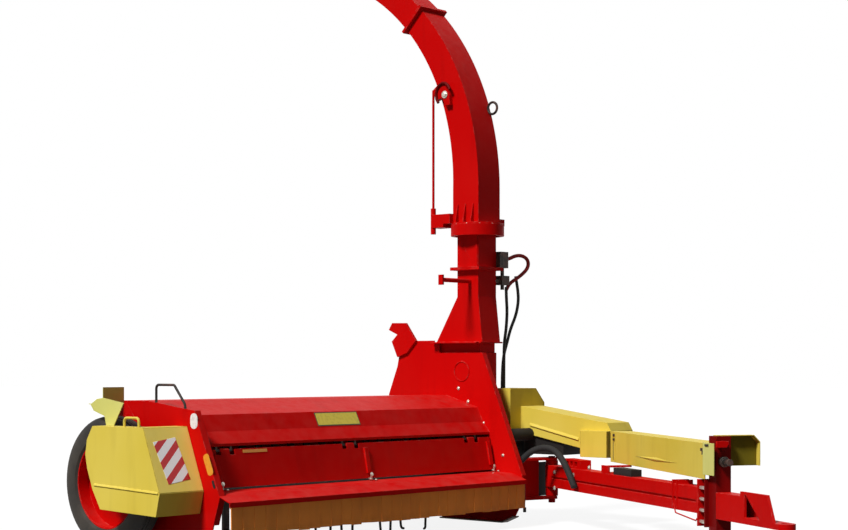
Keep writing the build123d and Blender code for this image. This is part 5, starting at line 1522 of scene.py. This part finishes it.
@dataclass
class DriveTrim(SubAssembly):
    """What is fixed to the drawbar: hinge strip, cap, ribs, clamp and bolts.

    Places are (side, ahead, up): side from the beam's middle, less towards the machine's middle;
    ahead from the swing axis along the beam; up from the ground. On the guard's inner face they are
    (run, up): run from the guard's rear end, up from the ground.
    """

    pivot: Flat = (2.860, 0.110)
    ahead: Flat = (-0.5045, -0.8634)
    guard_start: Point = (0.157, 0.582, 0.0)
    guard_end: Point = (-0.049, 2.254, 0.0)
    guard_low: float = 0.415
    guard_high: float = 0.603
    film_gap: float = 0.0003
    sheet: float = 0.0025
    # First and last run of the folded strips.
    strips: tuple[Flat, ...] = ((0.002, 0.050), (0.090, 0.097))
    # Hinge plates: lower corner, upper corner, thickness.
    hinges: tuple[tuple[Flat, Flat, float], ...] = (
        ((0.052, 0.575), (0.088, 0.589), 0.005),
        ((0.052, 0.549), (0.088, 0.563), 0.005),
        ((0.052, 0.430), (0.056, 0.540), 0.002),
    )
    rib_runs: Point = (0.48, 0.86, 1.25)
    rib_drop: float = 0.034
    rib_half: float = 0.013
    rib_ridge: float = 0.007
    rib_smooth: float = 5.0
    cap_side: float = -0.062
    cap_ends: Flat = (2.262, 2.388)
    cap_levels: Flat = (0.440, 0.607)
    # Cap hinge plates: side, ahead, up, length, height.
    cap_hinges: tuple[tuple[float, float, float, float, float], ...] = (
        (-0.0646, 2.290, 0.590, 0.040, 0.010),
        (-0.0505, 2.212, 0.560, 0.026, 0.016),
        (-0.0505, 2.228, 0.542, 0.008, 0.032),
    )
    cap_hinge_thick: float = 0.004
    # Outlines as (side, up), the place ahead, and the thickness.
    # The first outline is a dark plate that paints the shade inside the drive shield.
    shield_shade_outline: tuple[Flat, ...] = (
        (0.0545, 0.4865), (0.0545, 0.6405), (0.194, 0.6405), (0.2285, 0.606), (0.2285, 0.4865),
    )
    shield_shade_place: Flat = (2.2955, 0.001)
    tab: tuple[Flat, ...] = (
        (-0.045, 0.585), (0.010, 0.585), (0.022, 0.600), (0.022, 0.618), (-0.045, 0.618),
    )
    tab_place: Flat = (2.3715, 0.014)
    strap_half: float = 0.04914
    strap_levels: Flat = (0.232, 0.390)
    strap_places: Flat = (1.865, 1.915)
    strap_width: float = 0.008
    rod_line: tuple[Point, ...] = (
        (-0.051, 1.890, 0.260), (-0.056, 1.925, 0.215), (-0.056, 2.165, 0.192), (-0.052, 2.1745, 0.205),
    )
    rod_radius: float = 0.004
    beam_bolts: tuple[Point, ...] = (
        (-0.0375, 0.700, 0.388), (-0.0455, 0.470, 0.330), (-0.0455, 0.160, 0.330), (-0.0455, 0.160, 0.230),
    )
    beam_bolt_size: Flat = (0.010, 0.009)
    end_bolts: tuple[Point, ...] = (
        (-0.036, 2.1745, 0.200), (-0.036, 2.1745, 0.257), (-0.036, 2.1745, 0.314), (-0.036, 2.1745, 0.371),
    )
    end_bolt_size: Flat = (0.010, 0.010)

    def build(self) -> None:
        """Builds the drawbar's trim."""
        self.guard_strip()
        self.guard_rib()
        self.cap()
        # the dark olive plate inside the shield is painted shade
        self.across("shield_painted_shade", self.shield_shade_outline, self.shield_shade_place, Finish.SHADED_YELLOW)
        self.across("post_tab", self.tab, self.tab_place, Finish.RED)
        self.clamp()
        self.bolts()

    def at(self, side: float, ahead: float, up: float) -> Vector:
        """Turns a place in the drawbar's own directions into the frame's.

        Args:
            side: Distance from the beam's middle.
            ahead: Distance from the swing axis.
            up: Height above the ground.

        Returns:
            The place in the frame.
        """
        x = self.pivot[0] + self.ahead[0] * ahead - self.ahead[1] * side
        y = self.pivot[1] + self.ahead[1] * ahead + self.ahead[0] * side
        return self.layout.at(x, y, up)

    def heading(self, side: float, ahead: float, up: float) -> Vector:
        """Turns a direction in the drawbar's own directions into the frame's."""
        return self.at(side, ahead, up) - self.at(0, 0, 0)

    def on_guard(self, run: float, up: float, out: float) -> Vector:
        """Returns a place on the guard's inner face.

        Args:
            run: Distance from the guard's rear end.
            up: Height above the ground.
            out: Distance off the face.

        Returns:
            The place in the frame.
        """
        start, end = self.at(*self.guard_start), self.at(*self.guard_end)
        along = (end - start).normalized()
        outward = along.cross(Z_AXIS)
        if outward.dot(self.heading(-1, 0, 0)) < 0:
            outward = -outward
        return start + along * run + outward * out + Z_AXIS * up

    def plate(self, shapes: Shapes, low: Flat, high: Flat, thick: float) -> None:
        """Adds an upright plate on the guard's inner face.

        Args:
            shapes: Mesh that it joins.
            low: (run, up) of its lower rear corner.
            high: (run, up) of its upper front corner.
            thick: Its thickness.
        """
        corners = (low, (high[0], low[1]), high, (low[0], high[1]))
        away = self.on_guard(0, 0, thick) - self.on_guard(0, 0, 0)
        shapes.prism([self.on_guard(run, up, self.film_gap) for run, up in corners], away)

    def guard_strip(self) -> None:
        """Builds the folded strip at the guard's rear end, with its hinges."""
        strip = Shapes()
        for start, end in self.strips:
            self.plate(strip, (start, self.guard_low), (end, self.guard_high), self.sheet)
        strip.piece("guard_strip", "drawbar", Finish.YELLOW, self.paints)
        hinges = Shapes()
        for low, high, thick in self.hinges:
            self.plate(hinges, low, high, thick)
        hinges.piece("guard_hinges", "drawbar", Finish.IRON, self.paints)

    def guard_rib(self) -> None:
        """Builds the long diamond pressed in the guard's inner face."""
        middle = (self.guard_low + self.guard_high) / 2 - self.rib_drop
        start, peak, end = self.rib_runs
        places = (
            (start, middle, self.film_gap),
            (peak, middle + self.rib_half, self.film_gap),
            (end, middle, self.film_gap),
            (peak, middle - self.rib_half, self.film_gap),
        )
        rib = Shapes()
        corners = [rib.mesh.verts.new(self.on_guard(*place)) for place in places]
        ridge = rib.mesh.verts.new(self.on_guard(peak, middle, self.rib_ridge))
        for first, second in zip(corners, corners[1:] + corners[:1]):
            rib.mesh.faces.new((first, second, ridge))
        rib.mesh.faces.new(corners[:1] + corners[:0:-1])
        rib.piece("guard_rib", "drawbar", Finish.YELLOW, self.paints, self.rib_smooth)

    def cap(self) -> None:
        """Builds the pale plate that closes the gap between the guard and the post, and its hinge."""
        rear, front = self.cap_ends
        low, high = self.cap_levels
        corners = ((rear, low), (front, low), (front, high), (rear, high))
        plate = Shapes()
        outline = [self.at(self.cap_side, ahead, up) for ahead, up in corners]
        plate.prism(outline, self.heading(-self.sheet, 0, 0))
        plate.piece("guard_cap_plate", "drawbar", Finish.LIME, self.paints)
        dark = Shapes()
        for side, ahead, up, long, tall in self.cap_hinges:
            corners = ((ahead, up), (ahead + long, up), (ahead + long, up + tall), (ahead, up + tall))
            outline = [self.at(side, run, level) for run, level in corners]
            dark.prism(outline, self.heading(-self.cap_hinge_thick, 0, 0))
        dark.piece("guard_cap_hinge", "drawbar", Finish.IRON, self.paints)

    def across(self, name: str, outline: tuple[Flat, ...], place: Flat, finish: Finish) -> None:
        """Builds a plate that stands across the beam.

        Args:
            name: The piece's name.
            outline: Its (side, up) corners.
            place: Its place ahead, and its thickness.
            finish: Its finish.
        """
        ahead, thick = place
        shapes = Shapes()
        shapes.prism([self.at(side, ahead, up) for side, up in outline], self.heading(0, thick, 0))
        shapes.piece(name, "drawbar", finish, self.paints)

    def clamp(self) -> None:
        """Builds the strap round the beam near the post, with the thin rod that leaves it."""
        half = self.strap_half
        low, high = self.strap_levels
        strap = Shapes()
        for ahead in self.strap_places:
            corners = ((-half, low), (-half, high), (half, high), (half, low))
            outline = [self.at(side, ahead, up) for side, up in corners]
            strap.prism(outline, self.heading(0, self.strap_width, 0))
        strap.piece("beam_strap", "drawbar", Finish.RED, self.paints)
        rod = Shapes()
        rod.tube([self.at(*place) for place in self.rod_line], self.rod_radius, THIN)
        rod.piece("strap_rod", "drawbar", Finish.RED, self.paints)

    def bolts(self) -> None:
        """Builds the bolts of the anchor, the beam and the end plate."""
        bright = Shapes()
        for place in self.beam_bolts:
            bright.bolt(self.at(*place), self.heading(-1, 0, 0), *self.beam_bolt_size)
        for place in self.end_bolts:
            bright.bolt(self.at(*place), self.heading(0, -1, 0), *self.end_bolt_size)
        bright.piece("drawbar_bolts", "drawbar", Finish.BRIGHT, self.paints)


@dataclass
class NeckTrim(SubAssembly):
    """Fittings and hoses of the neck, behind the valve block. Flat places are (x, z) in the layout."""

    plane: float = 0.413
    block: Flat = (2.676, 1.640)
    block_size: Point = (0.075, 0.060, 0.105)
    foot_block: Flat = (2.688, 1.530)
    foot_height: float = 0.060
    # Fittings: first end, last end, radius.
    fittings: tuple[tuple[Flat, Flat, float], ...] = (
        ((2.640, 1.555), (2.760, 1.555), 0.014),
        ((2.725, 1.500), (2.725, 1.650), 0.012),
    )
    loop: tuple[Flat, ...] = (
        (2.690, 1.690), (2.790, 1.702), (2.860, 1.728), (2.930, 1.732), (2.985, 1.712),
        (3.000, 1.675), (2.975, 1.636), (2.900, 1.590), (2.800, 1.545), (2.765, 1.500),
    )
    near_hose: tuple[Flat, ...] = (
        (2.765, 1.520), (2.768, 1.440), (2.776, 1.360), (2.765, 1.240), (2.745, 1.160),
        (2.742, 1.020), (2.742, 0.760),
    )
    far_hose: tuple[Flat, ...] = (
        (2.900, 1.595), (2.925, 1.500), (2.930, 1.430), (2.905, 1.340), (2.845, 1.245),
        (2.812, 1.160), (2.770, 1.060), (2.760, 0.900), (2.760, 0.760),
    )
    loop_radius: float = 0.012
    hose_radius: float = 0.010
    far_behind: float = 0.030
    rounds: int = 3
    smooth: float = 60.0

    def build(self) -> None:
        """Builds the fittings, the loop and the two hoses down to the gearbox."""
        self.blocks()
        self.hose("neck_loop", self.loop, self.loop_radius, Finish.RED_HOSE)
        self.hose("neck_hose_near", self.near_hose, self.hose_radius, Finish.HOSE)
        self.hose("neck_hose_far", self.far_hose, self.hose_radius, Finish.HOSE, self.far_behind)

    def blocks(self) -> None:
        """Builds the two blocks one above the other, and the fittings between them."""
        wide, deep, tall = self.block_size
        shapes = Shapes()
        for (x, z), height in ((self.block, tall), (self.foot_block, self.foot_height)):
            low = self.layout.at(x, self.plane - deep / 2, z)
            corners = ((0, 0), (wide, 0), (wide, deep), (0, deep))
            shapes.prism([low + Vector((*corner, 0)) for corner in corners], Z_AXIS * height)
        for first, last, radius in self.fittings:
            ends = [self.layout.at(x, self.plane, z) for x, z in (first, last)]
            shapes.tube(ends, radius)
        shapes.piece("neck_fittings", "header", Finish.IRON, self.paints)

    def hose(
        self, name: str, route: tuple[Flat, ...], radius: float, finish: Finish, back: float = 0.0
    ) -> None:
        """Builds a short fixed hose through a route in one plane.

        Args:
            name: The piece's name.
            route: (x, z) points.
            radius: The hose's radius.
            finish: Its finish.
            back: How far behind the fittings' plane it lies.
        """
        points = [self.layout.at(x, self.plane + back, z) for x, z in route]
        shapes = Shapes()
        shapes.tube(soften(points, self.rounds), radius)
        shapes.piece(name, "header", finish, self.paints, self.smooth)


@dataclass
class SpoutTrim(SubAssembly):
    """Dark outline and round centre of the spout's rod bracket, and the bolts of the turret ring."""

    bracket: Flat = (0.660, 2.765)
    hook_x: float = 2.424
    hook_reach: Flat = (0.062, 0.072)
    hook_start: float = 20.0
    hook_turn: float = 26.0
    hook_points: int = 9
    hook_radius: float = 0.010
    pin_x: float = 2.4275
    pin_offset: Flat = (-0.010, -0.004)
    pin_size: Flat = (0.017, 0.014)
    ring_inset: float = 0.018
    ring_bolts: int = 12
    ring_bolt_size: Flat = (0.009, 0.009)

    def build(self) -> None:
        """Builds the hook round the bracket, its pin and the ring's bolts."""
        y, z = self.bracket
        hook = Shapes()
        points = []
        for step in range(self.hook_points):
            turn = math.radians(self.hook_start + self.hook_turn * step)
            back = self.hook_reach[0] * math.cos(turn)
            rise = self.hook_reach[1] * math.sin(turn)
            points.append(self.layout.at(self.hook_x, y - back, z + rise))
        hook.tube(points, self.hook_radius, THIN)
        hook.piece("bracket_hook", "spout", Finish.DARK_RED_AND_SHADE, self.paints)
        bolts = Shapes()
        pin = self.layout.at(self.pin_x, y + self.pin_offset[0], z + self.pin_offset[1])
        bolts.bolt(pin, -X_AXIS, *self.pin_size)
        low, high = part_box("turret")
        centre = (low + high) / 2
        reach = (high.x - low.x) / 2 - self.ring_inset
        for step in range(self.ring_bolts):
            turn = math.tau * (step + 0.5) / self.ring_bolts
            seat = Vector((centre.x + reach * math.cos(turn), centre.y + reach * math.sin(turn), high.z))
            bolts.bolt(seat, Z_AXIS, *self.ring_bolt_size)
        bolts.piece("spout_bolts", "spout", Finish.BRIGHT, self.paints)


@dataclass
class SwingShadeSheets(SubAssembly):
    """Black sheets of painted shade behind the swing bracket's web, in the shaded space under the tunnel
    and between the bracket's ears. Corners are (x, z) from the left plate.
    """

    low: tuple[Flat, ...] = ((0.060, 0.330), (0.060, 0.384), (0.475, 0.384), (0.475, 0.166), (0.160, 0.166))
    low_place: float = 0.182
    high: tuple[Flat, ...] = ((0.044, 0.405), (0.044, 0.560), (0.400, 0.560), (0.400, 0.405))
    high_place: float = 0.300
    thick: float = 0.004

    def build(self) -> None:
        """Builds the sheet below the tunnel and the one between the bracket's ears."""
        shapes = Shapes()
        for outline, y in ((self.low, self.low_place), (self.high, self.high_place)):
            shapes.prism([self.layout.by_left(x, y, z) for x, z in outline], Y_AXIS * self.thick)
        # black hose rubber paints the shade here
        shapes.piece("swing_shade_sheets", "header", Finish.HOSE, self.paints)


# ---------------------------------------------------------------- stage
@dataclass
class Stage:
    """Floor, light and camera."""

    floor_size: float = 60.0
    floor_tone: float = 0.12
    floor_glow: float = 0.88
    floor_roughness: float = 0.9
    floor_specular: float = 0.1
    eye: Point = (-6.08, -6.83, 1.01)
    lens: float = 74.3
    sensor: float = 36.0
    azimuth: float = -48.0
    shift: float = 0.118
    far_clip: float = 200.0
    sun_energy: float = 3.9
    sun_width: float = 12.0
    sun_from: Point = (-0.66, 0.0, 0.74)
    sky: float = 0.095

    def build(self, layout: Layout) -> None:
        """Builds the stage.

        Args:
            layout: The machine's layout.
        """
        self.camera(layout)
        self.floor()
        self.sky_light()
        self.key_light()

    def seen(self, tree: bpy.types.NodeTree) -> bpy.types.NodeSocket:
        """Tells what the camera, glass or a reflection sees directly.

        Args:
            tree: Node tree that the nodes join.

        Returns:
            A socket that is 1 for such a ray.
        """
        path = tree.nodes.new("ShaderNodeLightPath")
        result = path.outputs["Is Camera Ray"]
        for name in ("Is Glossy Ray", "Is Transmission Ray"):
            node = tree.nodes.new("ShaderNodeMath")
            node.operation = "MAXIMUM"
            tree.links.new(result, node.inputs[0])
            tree.links.new(path.outputs[name], node.inputs[1])
            result = node.outputs[0]
        return result

    def floor(self) -> None:
        """Builds the pale floor."""
        grid = bmesh.new()
        bmesh.ops.create_grid(grid, x_segments=1, y_segments=1, size=self.floor_size)
        data = bpy.data.meshes.new("floor")
        grid.to_mesh(data)
        grid.free()
        floor = bpy.data.objects.new("floor", data)
        bpy.context.scene.collection.objects.link(floor)
        material = bpy.data.materials.new("pale_floor")
        material.use_nodes = True
        tree = material.node_tree
        shader = tree.nodes["Principled BSDF"]
        shader.inputs["Base Color"].default_value = (self.floor_tone,) * 3 + (1,)
        shader.inputs["Roughness"].default_value = self.floor_roughness
        shader.inputs["Specular IOR Level"].default_value = self.floor_specular
        shader.inputs["Emission Color"].default_value = (1, 1, 1, 1)
        glow = tree.nodes.new("ShaderNodeMath")
        glow.operation = "MULTIPLY"
        glow.inputs[1].default_value = self.floor_glow
        tree.links.new(self.seen(tree), glow.inputs[0])
        tree.links.new(glow.outputs[0], shader.inputs["Emission Strength"])
        data.materials.append(material)
        floor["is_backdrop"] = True

    def sky_light(self) -> None:
        """Builds the even sky, which is white where it is seen directly."""
        world = bpy.data.worlds.new("studio")
        bpy.context.scene.world = world
        world.use_nodes = True
        tree = world.node_tree
        background = tree.nodes["Background"]
        background.inputs["Color"].default_value = (1, 1, 1, 1)
        mix = tree.nodes.new("ShaderNodeMix")
        mix.inputs[2].default_value = self.sky
        mix.inputs[3].default_value = 1.0
        tree.links.new(self.seen(tree), mix.inputs[0])
        tree.links.new(mix.outputs[0], background.inputs["Strength"])

    def key_light(self) -> None:
        """Builds one soft key lamp."""
        lamp = bpy.data.lights.new("key", "SUN")
        lamp.energy = self.sun_energy
        lamp.angle = math.radians(self.sun_width)
        key = bpy.data.objects.new("key", lamp)
        key.rotation_euler = Vector(self.sun_from).to_track_quat("Z", "Y").to_euler()
        bpy.context.scene.collection.objects.link(key)

    def camera(self, layout: Layout) -> None:
        """Builds the camera.

        Args:
            layout: The machine's layout.
        """
        lens = bpy.data.cameras.new("camera")
        lens.lens = self.lens
        lens.sensor_width = self.sensor
        lens.shift_y = self.shift
        lens.clip_end = self.far_clip
        camera = bpy.data.objects.new("camera", lens)
        camera.location = layout.at(*self.eye)
        camera.rotation_euler = (math.radians(90), 0, math.radians(self.azimuth))
        bpy.context.scene.collection.objects.link(camera)
        bpy.context.scene.camera = camera
        bpy.context.scene.view_settings.view_transform = "Standard"


def main() -> None:
    """Builds every group in order."""
    logging.basicConfig(level=logging.INFO, format="%(name)s: %(message)s")
    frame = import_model()
    cad_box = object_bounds()
    layout = Layout()
    paints = Paints()
    Stage().build(layout)
    groups = (
        SwingHose(layout, paints),
        CadSkins(layout, paints, frame),
        Wheels(layout, paints),
        Curtain(layout, paints),
        Labels(layout, paints),
        PlateFittings(layout, paints),
        Latches(layout, paints),
        CurtainHooks(layout, paints),
        GuardTrim(layout, paints),
        DriveTrim(layout, paints),
        NeckTrim(layout, paints),
        SpoutTrim(layout, paints),
        SwingShadeSheets(layout, paints),
    )
    for group in groups:
        log.info("group %s", type(group).__name__)
        group.build()
    boxes = {"cad": cad_box, "visual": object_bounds()}
    {name: [list(corner) for corner in box] for name, box in boxes.items()}


if __name__ == "__main__":
    main()
